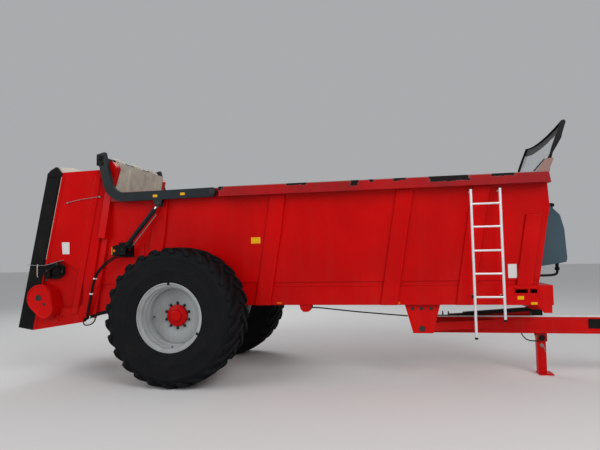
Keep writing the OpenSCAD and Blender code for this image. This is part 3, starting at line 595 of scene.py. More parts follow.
    def modify(self, kind: str, **settings: object) -> "Shape":
        """Add a modifier with its settings and apply it."""
        self.focus()
        modifier = self.obj.modifiers.new(kind.title(), kind)
        for key, value in settings.items():
            setattr(modifier, key, value)
        bpy.ops.object.modifier_apply(modifier=modifier.name)
        return self

    def soften(self, width: float, segments: int = 2, angle: float = 30.0) -> "Shape":
        """Round the edges that are sharper than an angle in degrees."""
        return self.modify("BEVEL", width=width / 1000, segments=segments, limit_method="ANGLE",
                           angle_limit=math.radians(angle), use_clamp_overlap=True)

    def smooth(self, angle: float = 35.0) -> "Shape":
        """Shade smooth across edges below an angle in degrees."""
        self.focus()
        bpy.ops.object.shade_smooth_by_angle(angle=math.radians(angle))
        return self

    def crisp(self, width: float) -> "Shape":
        """Round the sharp edges and keep the flat faces between them flat to the light."""
        return self.soften(width).smooth(40).modify("WEIGHTED_NORMAL", keep_sharp=True)

    def copy(self, name: str, move: Matrix) -> "Shape":
        """Return a copy with its own mesh, moved by a matrix."""
        twin = self.obj.copy()
        twin.data = self.obj.data.copy()
        twin.data.transform(move)
        if move.determinant() < 0:
            twin.data.flip_normals()
        bpy.context.collection.objects.link(twin)
        self.clear()
        bpy.context.view_layer.objects.active = twin
        twin.select_set(True)
        return Shape(name)

    def remove(self) -> None:
        """Take the object out of the scene."""
        bpy.data.objects.remove(self.obj, do_unlink=True)

    def spread(self, moves: Iterable[Matrix]) -> "Shape":
        """Turn this shape into one mesh of moved copies of itself."""
        made = [self.copy(self.obj.name, move) for move in moves]
        name = self.obj.name
        self.remove()
        first = self.merged(made)
        first.obj.name = name
        return first

    def join(self, others: Iterable["Shape"]) -> "Shape":
        """Join other shapes into this one."""
        self.clear()
        for other in others:
            other.obj.select_set(True)
        self.obj.select_set(True)
        bpy.context.view_layer.objects.active = self.obj
        bpy.ops.object.join()
        return self

    def mirrored(self, name: str) -> "Shape":
        """Return a copy on the machine's other side."""
        return self.copy(name, Matrix.Diagonal((1.0, -1.0, 1.0, 1.0)))

    def doubled(self) -> "Shape":
        """Join the twin on the machine's other side into this shape."""
        return self.join([self.mirrored("twin")])

    def dress(self, finish: Finish, body: str = "chassis", stands_for: Sequence[str] = ()) -> "Shape":
        """Give the piece its finish and body, and name the CAD nodes that it stands for."""
        self.obj.data.materials.clear()
        self.obj.data.materials.append(finish.material())
        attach(self.obj, body)
        if stands_for:
            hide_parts(*stands_for)
        LOG.info("%s: %d faces on %s", self.obj.name, len(self.obj.data.polygons), body)
        return self


def smooth_path(points: Sequence[Vector], fine: int) -> list[Vector]:
    """Return a smooth line through points, with as many steps between each two."""
    line = []
    for k in range(len(points) - 1):
        p0, p1 = points[max(k - 1, 0)], points[k]
        p2, p3 = points[k + 1], points[min(k + 2, len(points) - 1)]
        for step in range(fine):
            t = step / fine
            line.append(0.5 * (2 * p1 + (p2 - p0) * t + (2 * p0 - 5 * p1 + 4 * p2 - p3) * t ** 2
                               + (3 * p1 - p0 - 3 * p2 + p3) * t ** 3))
    return line + [points[-1]]


def tube_rings(path: Sequence[Vector], radius: float, sides: int) -> list[list[Vector]]:
    """Return rings of points round a path, with a radius in millimetres, kept from twisting."""
    turns = [(math.cos(math.tau * s / sides), math.sin(math.tau * s / sides)) for s in range(sides)]
    rings = []
    side = None
    for k, point in enumerate(path):
        along = (path[min(k + 1, len(path) - 1)] - path[max(k - 1, 0)]).normalized()
        side = along.orthogonal() if side is None else side - along * side.dot(along)
        side.normalize()
        other = along.cross(side)
        rings.append([point + radius / 1000 * (near * side + far * other) for near, far in turns])
    return rings


def hose(name: str, route: Sequence[Point], radius: float, sides: int, nodes: Sequence[str] = ()) -> None:
    """Args:
        name: the piece's name.
        route: places along it.
        radius: the hose's radius.
        sides: sides of its section.
        nodes: CAD nodes that it stands for.
    """
    path = smooth_path([at(*point) for point in route], 4)
    piece = Shape.swept(name, tube_rings(path, radius, sides)).smooth().dress(Finish.RUBBER, stands_for=nodes)
    length = sum((after - before).length for before, after in zip(path, path[1:]))
    tuple(path[0])
    [tuple(point) for point in path]


@dataclass
class Studio:
    """Camera, lamps and floor."""

    photo_width: float = 600.0
    focal_px: float = 505.0
    yaw: float = 10.933
    pitch: float = 3.456
    roll: float = -1.144
    eye: Point = (0.913, -7.6145, 1.703)

    def build(self) -> None:
        """Set the camera, the lamps, the world and the floor."""
        self.camera()
        self.lamps()
        self.floor()

    def camera(self) -> None:
        """Place the camera at the photograph's angle."""
        yaw, pitch, roll = (math.radians(angle) for angle in (self.yaw, self.pitch, self.roll))
        forward = Vector((-math.sin(yaw) * math.cos(pitch), math.cos(yaw) * math.cos(pitch), math.sin(pitch)))
        right = Vector((math.cos(yaw), math.sin(yaw), 0.0))
        up = right.cross(forward)
        turned_right = right * math.cos(roll) + up * math.sin(roll)
        turned_up = up * math.cos(roll) - right * math.sin(roll)
        data = bpy.data.cameras.new("camera")
        data.sensor_width = 36.0
        data.lens = self.focal_px * data.sensor_width / self.photo_width
        data.clip_end = 200.0
        camera = bpy.data.objects.new("camera", data)
        turn = Matrix((turned_right, turned_up, -forward)).transposed().to_4x4()
        camera.matrix_world = Matrix.Translation(self.eye) @ turn
        bpy.context.scene.collection.objects.link(camera)
        bpy.context.scene.camera = camera

    def lamps(self) -> None:
        """Add soft area lamps and an even world light."""
        for name, place, size, power in (("key", (6.0, -9.0, 8.0), 7.0, 700.0),
                                         ("fill", (-8.0, -8.0, 6.0), 6.0, 300.0),
                                         ("back", (-5.0, 8.0, 8.0), 6.0, 360.0)):
            data = bpy.data.lights.new(name, "AREA")
            data.energy, data.size = power, size
            lamp = bpy.data.objects.new(name, data)
            lamp.location = place
            lamp.rotation_euler = (Vector((0.0, 0.0, 1.2)) - Vector(place)).to_track_quat("-Z", "Y").to_euler()
            bpy.context.scene.collection.objects.link(lamp)
        world = bpy.data.worlds.new("even_light")
        world.use_nodes = True
        world.node_tree.nodes["Background"].inputs[0].default_value = (0.95, 0.97, 1.0, 1.0)
        world.node_tree.nodes["Background"].inputs[1].default_value = 0.42
        bpy.context.scene.world = world
        bpy.context.scene.view_settings.view_transform = "Standard"

    def floor(self) -> None:
        """Add the pale floor."""
        bpy.ops.mesh.primitive_plane_add(size=120.0)
        floor = bpy.context.object
        floor.name = "floor"
        sheet = Sheet("pale_floor")
        sheet.shade(Base_Color=(0.72, 0.72, 0.71), Roughness=0.9)
        floor.data.materials.append(sheet.material)


def round_nodes(frame: dict) -> None:
    """Show the plain solids through copies with rounded edges."""
    bodies = {node: body for body, nodes in frame["record"]["behaviour"]["bodies"].items() for node in nodes}
    for finish, widths in ROUNDED.items():
        for node, width in widths.items():
            shape = Shape.of_node(f"{node}_seen", frame["nodes"][node])
            shape.crisp(width).dress(finish, bodies[node], [node])


@dataclass
class Wheel:
    """A flotation wheel: ribbed tyre, stepped rim, dished disc, hub and nuts."""

    side: str
    track: float = 2249
    axle_z: float = 925
    tread_r: float = 884
    lug_r: float = 924.8
    lugs: int = 26
    nuts: int = 10
    nut_pcr: float = 167.5

    SIDEWALL: ClassVar[Line] = (
        (413.5, 255), (413.5, 262), (430, 272), (447, 286), (460, 294), (467, 306), (484, 314), (492, 311),
        (505, 315), (560, 328), (600, 333), (606, 336), (618, 336), (624, 334), (680, 338), (730, 338),
        (775, 334), (781, 337), (792, 336), (798, 331), (835, 318), (862, 298), (876, 268), (882, 200),
        (884, 100))
    RIM: ClassVar[Line] = (
        (457, 292), (456.5, 298.5), (451, 301.5), (444, 300.5), (439, 294), (435, 280), (428, 272),
        (410, 266), (405, 260), (404, 196), (401, 191), (390, 189), (387, 185), (386, 116), (383, 111),
        (375, 109), (372, 105), (371, -60), (386, -75), (398, -85), (398, -262), (428, -272), (440, -300),
        (457, -300), (457, -292), (440, -286), (413, -268), (413, -100), (395, -70), (382, -50), (382, 90),
        (398, 105), (398, 180), (413, 200), (413, 268), (440, 286))
    DISC: ClassVar[Line] = (
        (372, 16), (366, 22), (300, 26), (235, 22), (205, 13), (190, 12), (141, 12), (141, -3.5),
        (205, -3.5), (300, 8), (372, 4))
    HUB: ClassVar[Line] = (
        (45.5, 25), (45.5, -110), (100, -114), (105, -108), (105, -32), (192, -29), (199, -26), (199, -4),
        (140.5, -4), (140.5, 14), (147, 16), (147, 30), (140, 44), (120, 53), (92, 58), (84, 61), (80, 66),
        (78, 84), (72, 91), (58, 95), (0.5, 95.5), (0.5, 25))
    # A lug's crest and its root inside the carcass: distance from the middle and radius of each
    LUG: ClassVar[tuple[tuple[float, float, float, float], ...]] = (
        (-22, 924.8, -22, 872), (35, 924.8, 35, 872), (95, 924.6, 95, 871), (150, 923.8, 150, 870),
        (205, 922, 203, 868), (255, 918, 250, 865), (296, 911, 282, 860), (322, 897, 297, 853),
        (335, 873, 304, 843), (338.5, 846, 309, 826))

    def build(self) -> None:
        """Build the wheel's pieces and dress them, those of the left side as twins."""
        middle = self.spot(0, 0)
        rim = Shape.turned("rim", self.RIM, middle, RIGHT, 96, True).smooth()
        disc = Shape.turned("disc", self.DISC, middle, RIGHT, 96, True).smooth()
        hub = Shape.turned("hub", self.HUB, middle, RIGHT, 64, True).smooth()
        pieces = ((self.tyre(), Finish.TYRE, True), (rim, Finish.RIM, True), (disc, Finish.RIM, False),
                  (hub, Finish.BODY, True), (self.nut_ring(), Finish.CAST, False),
                  (self.fittings(), Finish.BLACK, False))
        for shape, finish, stands in pieces:
            node = f"{shape.obj.name}_{self.side}"
            if self.side == "left":
                twin = shape.mirrored(node)
                shape.remove()
                shape = twin
            shape.obj.name = f"{node}_seen"
            shape.dress(finish, f"wheel_{self.side}", [node] if stands else ())

    def spot(self, out: float, up: float, ahead: float = 0.0) -> Point:
        """Return a place by its distance out from the right wheel's middle, above its axle and ahead of it."""
        return (ahead, -self.track / 2 - out, self.axle_z + up)

    def turn(self, angle: float) -> Matrix:
        """Return a turn about the wheel's axis."""
        return about(self.spot(0, 0), Matrix.Rotation(angle, 4, "Y"))

    def tyre(self) -> Shape:
        """Return the carcass with its two rows of lugs."""
        far_side = [(radius, -out) for radius, out in reversed(self.SIDEWALL)]
        profile = [*self.SIDEWALL, (self.tread_r, 0), *far_side]
        tyre = Shape.turned("tyre", profile, self.spot(0, 0), RIGHT, 104, True)
        lug = Shape.swept("lug", [self.lug_ring(step) for step in range(len(self.LUG))]).soften(7, 2, 40)
        step = math.tau / self.lugs
        near = lug.spread([self.turn(k * step) for k in range(self.lugs)])
        flip = about(self.spot(0, 0), Matrix.Diagonal((1.0, -1.0, 1.0, 1.0)))
        return tyre.join([near, near.copy("far", self.turn(step / 2) @ flip)]).smooth(38)

    def lug_ring(self, step: int) -> list[Vector]:
        """Return a lug's section, from the first at the tread's middle to the last on the shoulder."""
        crest_y, crest_r, root_y, root_r = self.LUG[step]
        sweep = 10 + 270 * (max(crest_y, 0) / 334) ** 1.25
        half = 25 + step
        ring = []
        for out, radius, shift in ((root_y, root_r, -half - 9), (crest_y, crest_r, -half),
                                   (crest_y, crest_r, half), (root_y, root_r, half + 9)):
            angle = (sweep + shift) / self.lug_r
            ring.append(at(*self.spot(out, radius * math.cos(angle), radius * math.sin(angle))))
        return ring

    def nut_ring(self) -> Shape:
        """Return the ring of wheel nuts on their studs."""
        up = self.nut_pcr
        nut = Shape.rod("nuts", self.spot(12, up), self.spot(34, up), 17.5, 6).pick(RIGHT, 0.9).inset(4, 3)
        stud = Shape.rod("stud", self.spot(34, up), self.spot(46, up), 9.5, 12)
        washer = Shape.rod("washer", self.spot(11.5, up), self.spot(16.5, up), 20.5, 20)
        nut.join([stud, washer]).soften(1.2, 1)
        step = math.tau / self.nuts
        return nut.spread([self.turn(k * step) for k in range(self.nuts)]).smooth()

    def fittings(self) -> Shape:
        """Return the valve, the two clips on the rim's flange and a plug."""
        places = [self.spot(out, -20, ahead) for out, ahead in ((20, -330), (45, -330), (72, -322))]
        valve = Shape.pipe("fittings", places, 8)
        clip = Shape.block("clip", self.spot(306, 424, -16), self.spot(290, 470, 16)).soften(4)
        plug = Shape.rod("plug", self.spot(185, -395), self.spot(196, -395), 10, 12)
        return valve.join([clip, plug, clip.copy("low_clip", self.turn(math.radians(117)))]).smooth()


class Body:
    """Small things on the body: reflectors, a line bracket, clips, seams and the hoses along the frame."""

    LIFT_HOSE: ClassVar[Route] = (
        (-1065, -840, 1760), (-1160, -845, 1720), (-1280, -850, 1640), (-1380, -850, 1540),
        (-1440, -850, 1430), (-1480, -845, 1320), (-1510, -835, 1200), (-1540, -825, 1080),
        (-1575, -815, 960), (-1590, -810, 860))
    BRAKE_LINE: ClassVar[Route] = (
        (1600, -628, 1019), (1601, -628, 1000), (1640, -628, 984), (1860, -628, 975), (2100, -628, 950),
        (2400, -628, 920), (2700, -628, 895), (2950, -628, 875), (3067, -628, 866))

    def build(self) -> None:
        """Build the body's pieces."""
        reflectors = [Shape.beside("reflectors", sign, (x - 34, WALL_Y - 1, 1036), (x + 34, WALL_Y + 6, 1060))
                      for sign in SIDES for x in (1320, 2940)]
        Shape.merged([piece.soften(2, 3).smooth() for piece in reflectors]).dress(Finish.AMBER)
        self.line_bracket().dress(Finish.BODY)
        self.seams().dress(Finish.WALL)
        joints = [Shape.beside("rail_joints", sign, (x - 3, RAIL_Y - 1, 2558), (x + 3, RAIL_Y + 2, 2684))
                  for sign in SIDES for x in (1560, 3300)]
        Shape.merged([joint.crisp(0.8) for joint in joints]).dress(Finish.RAIL)
        hose("lift_hose_seen", self.LIFT_HOSE, 11, 12, ["lift_hose"])
        hose("brake_line_seen", self.BRAKE_LINE, 9, 12, ["brake_line"])
        hose("second_lift_hose", [(x + 10, y - 4, z - 26) for x, y, z in self.LIFT_HOSE], 10, 12)
        clips = [Shape.block("hose_clips", (x - 18, y - 14, z - 12), (x + 34, y + 14, z + 10))
                 for x, y, z in ((-1440, -848, 1422), (-1508, -837, 1198))]
        Shape.merged([clip.soften(4).smooth() for clip in clips]).dress(Finish.ALUMINIUM)

    def line_bracket(self) -> Shape:
        """Return the folded bracket under the sill where the brake line starts."""
        outline = ((1600, 1024), (1772, 1024), (1760, 968), (1725, 925), (1655, 922), (1615, 960))
        plates = [Shape.slab("line_bracket", outline, y, 8).crisp(1.5) for y in (-700, -560)]
        return Shape.merged([*plates, Shape.block("web", (1660, -696, 924), (1720, -556, 931)).soften(1.5)])

    def seams(self) -> Shape:
        """Return the weld beads along the ribs, which follow the walls' fold, drawn once and mirrored."""
        beads = []
        for x in (-400, 1340, 3080, 4050):
            for side in (-104, 104):
                points = [(x + side - (2552 - z) * math.tan(LEAN), -WALL_Y - 0.14054 * max(0, z - 2040) - 1, z)
                          for z in (1335, 1700, 2030, 2060, 2300, 2540)]
                beads.append(Shape.pipe("wall_seams", points, 3.5, 6, 2))
        return Shape.merged(beads).smooth().doubled()


@dataclass
class Front:
    """The front of the body: screen, ladder fittings, tank with its straps, blank plates and covers."""

    base: Flat = (4810, 2690)
    tip: Flat = (5045, 3328)
    half: float = 895.7
    nose_y: float = 755
    wires: int = 58
    rows: int = 13

    # Outline of a side plate of the screen
    CHEEK: ClassVar[Line] = (
        (4806, 2692), (4846, 2692), (4869, 2830), (4895, 2924), (4952, 3018), (5003, 3108), (5012, 3150),
        (5061, 3303), (5046, 3330), (5009, 3322), (4935, 3138), (4885, 3005), (4857, 2910), (4829, 2855))
    # Section of the tank, from its foot over its front to its top
    TANK: ClassVar[Line] = (
        (4752, 1502), (5095, 1555), (5112, 1600), (5085, 1980), (5025, 2165), (4915, 2285), (4878, 2285))
    LOW_CAP: ClassVar[Line] = (
        (0.5, -4), (18, -4), (20.5, 0), (20.5, 20), (17.5, 22), (17.5, 14), (0.5, 14))
    TOP_CAP: ClassVar[Line] = ((0.5, 4), (16, 4), (18.5, 1), (18.5, -12), (0.5, -12))
    FILLER: ClassVar[Line] = ((0.5, 50), (50, 49), (64, 45), (70, 36), (70, 6), (66, 2), (56, 0), (0.5, 0))
    OUTLET: ClassVar[Line] = (
        (0.5, 16), (34, 16), (34, 0), (22, -6), (20, -50), (30, -54), (30, -85), (24, -88), (0.5, -88))
    # Lower and upper corner of each bar round the nose's two slots
    SLOT_BARS: ClassVar[tuple[tuple[Flat, Flat], ...]] = (
        ((4392, 1150), (4690, 1160)), ((4392, 1230), (4690, 1240)), ((4392, 1150), (4402, 1240)),
        ((4680, 1150), (4690, 1240)), ((4570, 1150), (4578, 1240)))

    def build(self) -> None:
        """Build the front's pieces."""
        self.screen().dress(Finish.BLACK, stands_for=["front_screen"])
        self.netting().dress(Finish.GALVANISED, stands_for=["screen_mesh"])
        self.ladder_caps().dress(Finish.BLACK)
        self.straps().dress(Finish.BLACK)
        self.tank_cap().dress(Finish.BLACK)
        self.tank_pipes().dress(Finish.BLACK)
        self.plates()

    def plates(self) -> None:
        """Build the blank plates and labels, the slots' frames, the rails' covers and other small plates."""
        plate = Shape.block("white_plates", (4342, -WALL_Y - 3, 1362), (4448, -WALL_Y + 2, 1540))
        plate.crisp(1).dress(Finish.WHITE)
        places = ((4435, 1090, 4512, 1134, self.nose_y), (4592, 1026, 4668, 1056, self.nose_y),
                  (925, 1885, 1060, 1972, WALL_Y))
        labels = [Shape.block("body_labels", (x0, -y - 1.5, z0), (x1, -y + 1, z1)).crisp(0.5)
                  for x0, z0, x1, z1, y in places]
        Shape.merged(labels).dress(Finish.YELLOW)
        bars = [Shape.beside("slot_frames", sign, (x0, self.nose_y - 1, z0), (x1, self.nose_y + 5, z1))
                for sign in SIDES for (x0, z0), (x1, z1) in self.SLOT_BARS]
        Shape.merged([bar.crisp(1.5) for bar in bars]).dress(Finish.BODY)
        cover = ((4318, 2556), (4829, 2556), (4808, 2686), (4402, 2686))
        Shape.slab("rail_covers", cover, -RAIL_Y + 1, -5).crisp(1.5).doubled().dress(Finish.RAIL)
        edge = ((4668, 2693), (4792, 2838), (4782, 2850), (4646, 2697))
        edges = [Shape.slab("gusset_edges", edge, y, 16).crisp(2) for y in (-930.5, 914.5)]
        Shape.merged(edges).dress(Finish.CAST)
        lug = ((4655, 1030), (4741, 921), (4838, 921), (4841.5, 1030))
        Shape.slab("nose_lugs", lug, -self.nose_y - 1.5, 13.5).crisp(3).doubled().dress(Finish.BODY)

    def on_screen(self, y: float, up: float, out: float = 0.0) -> Vector:
        """Return a place on the leaning screen, up along it and out to its front."""
        run, rise = self.tip[0] - self.base[0], self.tip[1] - self.base[1]
        length = math.hypot(run, rise)
        return at(self.base[0] + (run * up + rise * out) / length, y,
                  self.base[1] + (rise * up - run * out) / length)

    def screen(self) -> Shape:
        """Return the black frame: two side plates, the hollowed top band and the foot bar."""
        pieces = [Shape.slab("screen_frame", self.CHEEK, sign * self.half - 6, 12).crisp(2) for sign in SIDES]
        rings = []
        for k in range(25):
            y = -self.half + 2 * self.half * k / 24
            sag = 88 * (1 - (y / self.half) ** 2)
            high, low = 668 - sag, 548 - sag * 1.02
            rings.append([self.on_screen(y, up, out) for up, out in (
                (low, 0), (high, 0), (high, -30), (high - 7, -30), (high - 7, -7), (low, -7))])
        pieces.append(Shape.swept("band", rings).crisp(1.5))
        rings = [[self.on_screen(y, up, out) for up, out in ((40, 6), (84, 6), (84, -10), (40, -10))]
                 for y in (-self.half, self.half)]
        pieces.append(Shape.swept("foot", rings).crisp(2))
        return Shape.merged(pieces)

    def netting(self) -> Shape:
        """Return the woven wire, one upright and one cross wire each modelled once and copied."""
        pitch = 2 * (self.half - 10) / self.wires
        step = 34
        low = 60
        made = []
        for name, high, near in (("screen_netting", 490, True), ("long_wire", 545, False)):
            count = int((high - low) / step * 2)
            points = [self.on_screen(0, low + (high - low) * k / count, 1.6 * (-1) ** k - 4)
                      for k in range(count + 1)]
            wire = Shape.swept(name, tube_rings(points, 1.9, 5))
            places = [(k - (self.wires - 1) / 2) * pitch for k in range(self.wires)]
            made.append(wire.spread([Matrix.Translation((0.0, y / 1000, 0.0)) for y in places
                                     if (abs(y) < 500) == near]))
        line = [self.on_screen(-self.half + 2 * self.half * k / self.wires, 80, 1.6 * (-1) ** k - 4)
                for k in range(self.wires + 1)]
        away = self.on_screen(0, step) - self.on_screen(0, 0)
        cross = Shape.swept("cross_wire", tube_rings(line, 1.9, 5))
        made.append(cross.spread([Matrix.Translation(away * k) for k in range(self.rows)]))
        return Shape.merged(made).smooth(60)

    def ladder_caps(self) -> Shape:
        """Return the ladder's rubber caps and its lower brackets."""
        caps = []
        for x, low in ((3890, 620), (4240, 840)):
            caps.append(Shape.turned("ladder_caps", self.LOW_CAP, (x, -959.7, low), UP, 20).smooth())
            caps.append(Shape.turned("top_cap", self.TOP_CAP, (x, -959.7, 2510), UP, 20).smooth())
            caps.append(Shape.block("clamp", (x - 36, -950, 1122), (x + 14, -930, 1168)).soften(5, 3))
        return Shape.merged(caps)

    def straps(self) -> Shape:
        """Return the two steel straps that hold the tank."""
        made = []
        for y in (-370, 370):
            rings = []
            for k, (x, z) in enumerate(self.TANK):
                before, after = self.TANK[max(k - 1, 0)], self.TANK[min(k + 1, len(self.TANK) - 1)]
                run, rise = after[0] - before[0], after[1] - before[1]
                length = math.hypot(run, rise)
                rings.append([at(x + rise / length * out, y + side, z - run / length * out)
                              for out, side in ((-2, -20), (5, -20), (5, 20), (-2, 20))])
            made.append(Shape.swept("tank_straps", rings).crisp(1.5))
        return Shape.merged(made)

    def tank_cap(self) -> Shape:
        """Return the filler cap with its grips."""
        centre = (4955, -370, 2285)
        cap = Shape.turned("tank_cap", self.FILLER, centre, UP, 40)
        grip = Shape.rod("grip", (5024.5, -370, 2292), (5024.5, -370, 2322), 6, 8)
        turns = [about(centre, Matrix.Rotation(math.tau * k / 12, 4, "Z")) for k in range(12)]
        return cap.join([grip.spread(turns)]).smooth()

    def tank_pipes(self) -> Shape:
        """Return the dark fittings and rod under the tank."""
        outlet = Shape.turned("tank_outlet", self.OUTLET, (4990, -500, 1535), UP, 28)
        line = ((4990, 1462), (4990, 1430), (4975, 1398), (4930, 1385), (4850, 1380), (4715, 1380))
        pipe = Shape.pipe("outlet_pipe", [(x, -500, z) for x, z in line], 16, 12)
        lever = Shape.block("lever", (4982, -560, 1470), (4998, -515, 1482)).soften(3)
        return outlet.join([pipe, lever]).smooth()


@dataclass
class Hood:
    """What stands on the flared hood sides: flap, strap, latch, chain case, ribs and small plates."""

    foot: Flat = (-1515, 1020)
    bend: Flat = (-250, -858)
    slope: float = 0.34909
    top: Flat = (-1870, 2995)
    low: Flat = (-2320, 690)

    # Plates on the hood: name, finish, outline, then start, thickness and rounding
    SHEETS: ClassVar[tuple[tuple, ...]] = (
        ("flap_peaks", Finish.RUBBER, (
            (-2074, 2930), (-2066, 2976), (-2020, 3030), (-1955, 3074), (-1928, 3076), (-1892, 3020),
            (-1868, 2974), (-1870, 2930)), (-1, 13, 3)),
        ("hood_top_plates", Finish.WORN, (
            (-1930, 2960), (-1915, 3074), (-1740, 3066), (-1610, 3030), (-1640, 2960)), (-18, 12, 2)),
        ("hood_plates", Finish.WHITE, (
            (-1900, 1792), (-1810, 1790), (-1806, 1965), (-1907, 1967)), (-1, 3, 0.8)))
    LATCH: ClassVar[Line] = (
        (-2150, 1470), (-2160, 1600), (-2085, 1662), (-1945, 1668), (-1862, 1612), (-1868, 1500),
        (-1930, 1440), (-2060, 1430))
    # Blocks of the latch: outline and thickness
    BLOCKS: ClassVar[tuple[tuple[Line, float], ...]] = (
        (((-2135, 1480), (-2050, 1470), (-2045, 1585), (-2120, 1600)), 70),
        (((-2030, 1500), (-1945, 1490), (-1925, 1560), (-1960, 1640), (-2020, 1620)), 48),
        (((-1925, 1470), (-1885, 1500), (-1880, 1590), (-1915, 1600)), 30))
    ROLLER: ClassVar[Line] = ((0.5, 30), (26, 29), (32, 24), (32, 10), (40, 8), (40, -6), (0.5, -6))
    KNOB: ClassVar[Line] = ((0.5, 22), (10, 21), (14, 17), (14, 6), (9, 3), (9, -70), (0.5, -70))
    CASE_HUB: ClassVar[Line] = (
        (0.5, 4), (22, 4), (28, 2), (30, 12), (42, 12), (46, 8), (46, -20), (0.5, -20))
    BOSS: ClassVar[Line] = ((0.5, 12), (12, 12), (14, 6), (22, 5), (24, 1), (24, -20), (0.5, -20))
    # Lines on the hood: X, Z and distance outside its plane
    STRAP: ClassVar[Route] = (
        (-2368, 1650, 2), (-2345, 1646, 18), (-2242, 1635, 22), (-2131, 1636, 22), (-2051, 1655, 22),
        (-1970, 1682, 20), (-1905, 1701, 10), (-1890, 1705, 1))
    STRUT: ClassVar[Route] = (
        (-2226, 1650, 12), (-2227, 1620, 30), (-2229, 1550, 34), (-2230, 1478, 34), (-2231, 1462, 4))
    GUIDE: ClassVar[Route] = ((-1811, 2548, 24), (-1641, 2594, 24), (-1380, 2638, 24))
    TUBE: ClassVar[Route] = (
        (-1645, -800, 812), (-1600, -782, 832), (-1540, -752, 862), (-1420, -728, 900), (-1300, -712, 935),
        (-1180, -700, 975), (-1080, -694, 1020), (-1040, -690, 1050))
    LOOP: ClassVar[Route] = (
        (-1600, -850, 850), (-1612, -862, 800), (-1592, -866, 752), (-1530, -866, 746), (-1470, -860, 768),
        (-1436, -845, 812), (-1450, -820, 850), (-1480, -790, 870))

    def skin(self, x: float, z: float, out: float = 0.0) -> Vector:
        """Return the place on the right hood's outer plane at X and Z, or as far outside it."""
        along = (x - self.foot[0]) * math.cos(LEAN) - (z - self.foot[1]) * math.sin(LEAN)
        return Vector((x, self.bend[1] + (along - self.bend[0]) * self.slope, z)) + self.away() * out

    def away(self) -> Vector:
        """Return the way that the right hood faces."""
        return Vector((self.slope * math.cos(LEAN), -1.0, -self.slope * math.sin(LEAN))).normalized()

    def sheet(self, name: str, outline: Line, start: float, thick: float, edge: float) -> Shape:
        """Return a plate on the hood's plane, with a start outside it, a thickness and rounded edges."""
        plate = Shape.plate(name, outline, lambda x, z: at(*self.skin(x, z, start)), self.away() * thick / 1000)
        return plate.crisp(edge) if edge else plate

    def strip(self, name: str, line: Line, width: float, *sizes: float) -> Shape:
        """Return a strip along a line on the hood's plane, with the sizes of a sheet."""
        first, last = Vector(line[0]), Vector(line[1])
        side = Vector((first.y - last.y, last.x - first.x)).normalized() * width / 2
        return self.sheet(name, [first - side, last - side, last + side, first + side], *sizes)

    def edge(self, z: float, ahead: float = 0.0) -> Flat:
        """Return the place of the hood's rear edge at a height, or one ahead of it."""
        share = (z - self.top[1]) / (self.low[1] - self.top[1])
        return (self.top[0] + share * (self.low[0] - self.top[0]) + ahead, z)

    def build(self) -> None:
        """Build everything on the right hood side, and its twin on the left."""
        pieces = [(self.sheet(name, outline, *sizes), finish) for name, finish, outline, sizes in self.SHEETS]
        pieces += [
            (self.flange(), Finish.BODY), (self.edge_line(), Finish.WORN), (self.flap_clamp(), Finish.BLACK),
            (self.ridge(), Finish.BODY), (self.latch(), Finish.BLACK), (self.latch_bits(), Finish.CAST),
            (self.case_cover(), Finish.BODY), (self.case_hub(), Finish.CAST), (self.knob(), Finish.YELLOW),
            (self.line("flap_strap", self.STRAP, 4.5, 8), Finish.STEEL),
            (self.line("latch_struts", self.STRUT, 6, 10), Finish.WORN), (self.guide_rod(), Finish.STEEL),
            (self.tabs(), Finish.BODY), (self.post_web(), Finish.BODY), (self.foot_gusset(), Finish.BODY),
            (Shape.pipe("hood_tubes", self.TUBE, 24, 14).smooth(), Finish.RUBBER),
            (Shape.pipe("step_loops", self.LOOP, 9, 10).smooth(), Finish.RUBBER),
            (self.step_plate(), Finish.ALUMINIUM)]
        for shape, finish in pieces:
            shape.mirrored(f"{shape.obj.name}_left").dress(finish)
            shape.dress(finish)

    def line(self, name: str, route: Route, radius: float, sides: int) -> Shape:
        """Return a pipe along a line given on the hood's plane."""
        return Shape.pipe(name, [self.skin(*point) for point in route], radius, sides).smooth()

    def flange(self) -> Shape:
        """Return the raised flange along the hood's rear edge, open at the chain case."""
        return Shape.merged([self.strip("hood_flange", (self.edge(high, 20), self.edge(low, 20)), 34, -1, 9, 3)
                             for high, low in ((2960, 1640), (880, 735))])

    def edge_line(self) -> Shape:
        """Return the thin bare edge between the flap and the painted side."""
        return self.strip("hood_edges", (self.edge(2950, 1), self.edge(1720, 1)), 5, 0, 9.5, 1)

    def flap_clamp(self) -> Shape:
        """Return the black bar that clamps the rubber flap, with its rivets."""
        bar = self.strip("flap_clamp", (self.edge(2945, -22), self.edge(1630, -22)), 26, 0, 5, 1.5)
        places = [self.skin(*self.edge(z, -22), 5) for z in range(2900, 1699, -200)]
        return bar.join([Shape.bolts("rivets", places, self.away(), 7)])

    def ridge(self) -> Shape:
        """Return the broad soft rib that stiffens the hood side from top to bottom."""
        ridge = self.strip("hood_ridges", (self.edge(2930, 490), self.edge(900, 510)), 85, -3, 19, 0)
        return ridge.soften(11.5, 5).smooth(60)

    def latch(self) -> Shape:
        """Return the black latch of the hood side with its blocks, roller and lever."""
        parts = [self.sheet("hood_latch", self.LATCH, -1, 14, 4)]
        parts += [self.sheet("block", outline, 12, thick, 6) for outline, thick in self.BLOCKS]
        parts.append(self.strip("lever", ((-2085, 1560), (-1940, 1660)), 30, 80, 12, 4))
        parts.append(self.strip("arm", ((-2090, 1560), (-2095, 1410)), 36, 74, 12, 4))
        parts.append(Shape.turned("roller", self.ROLLER, self.skin(-1985, 1560, 58), self.away(), 28).smooth())
        return Shape.merged(parts).smooth()

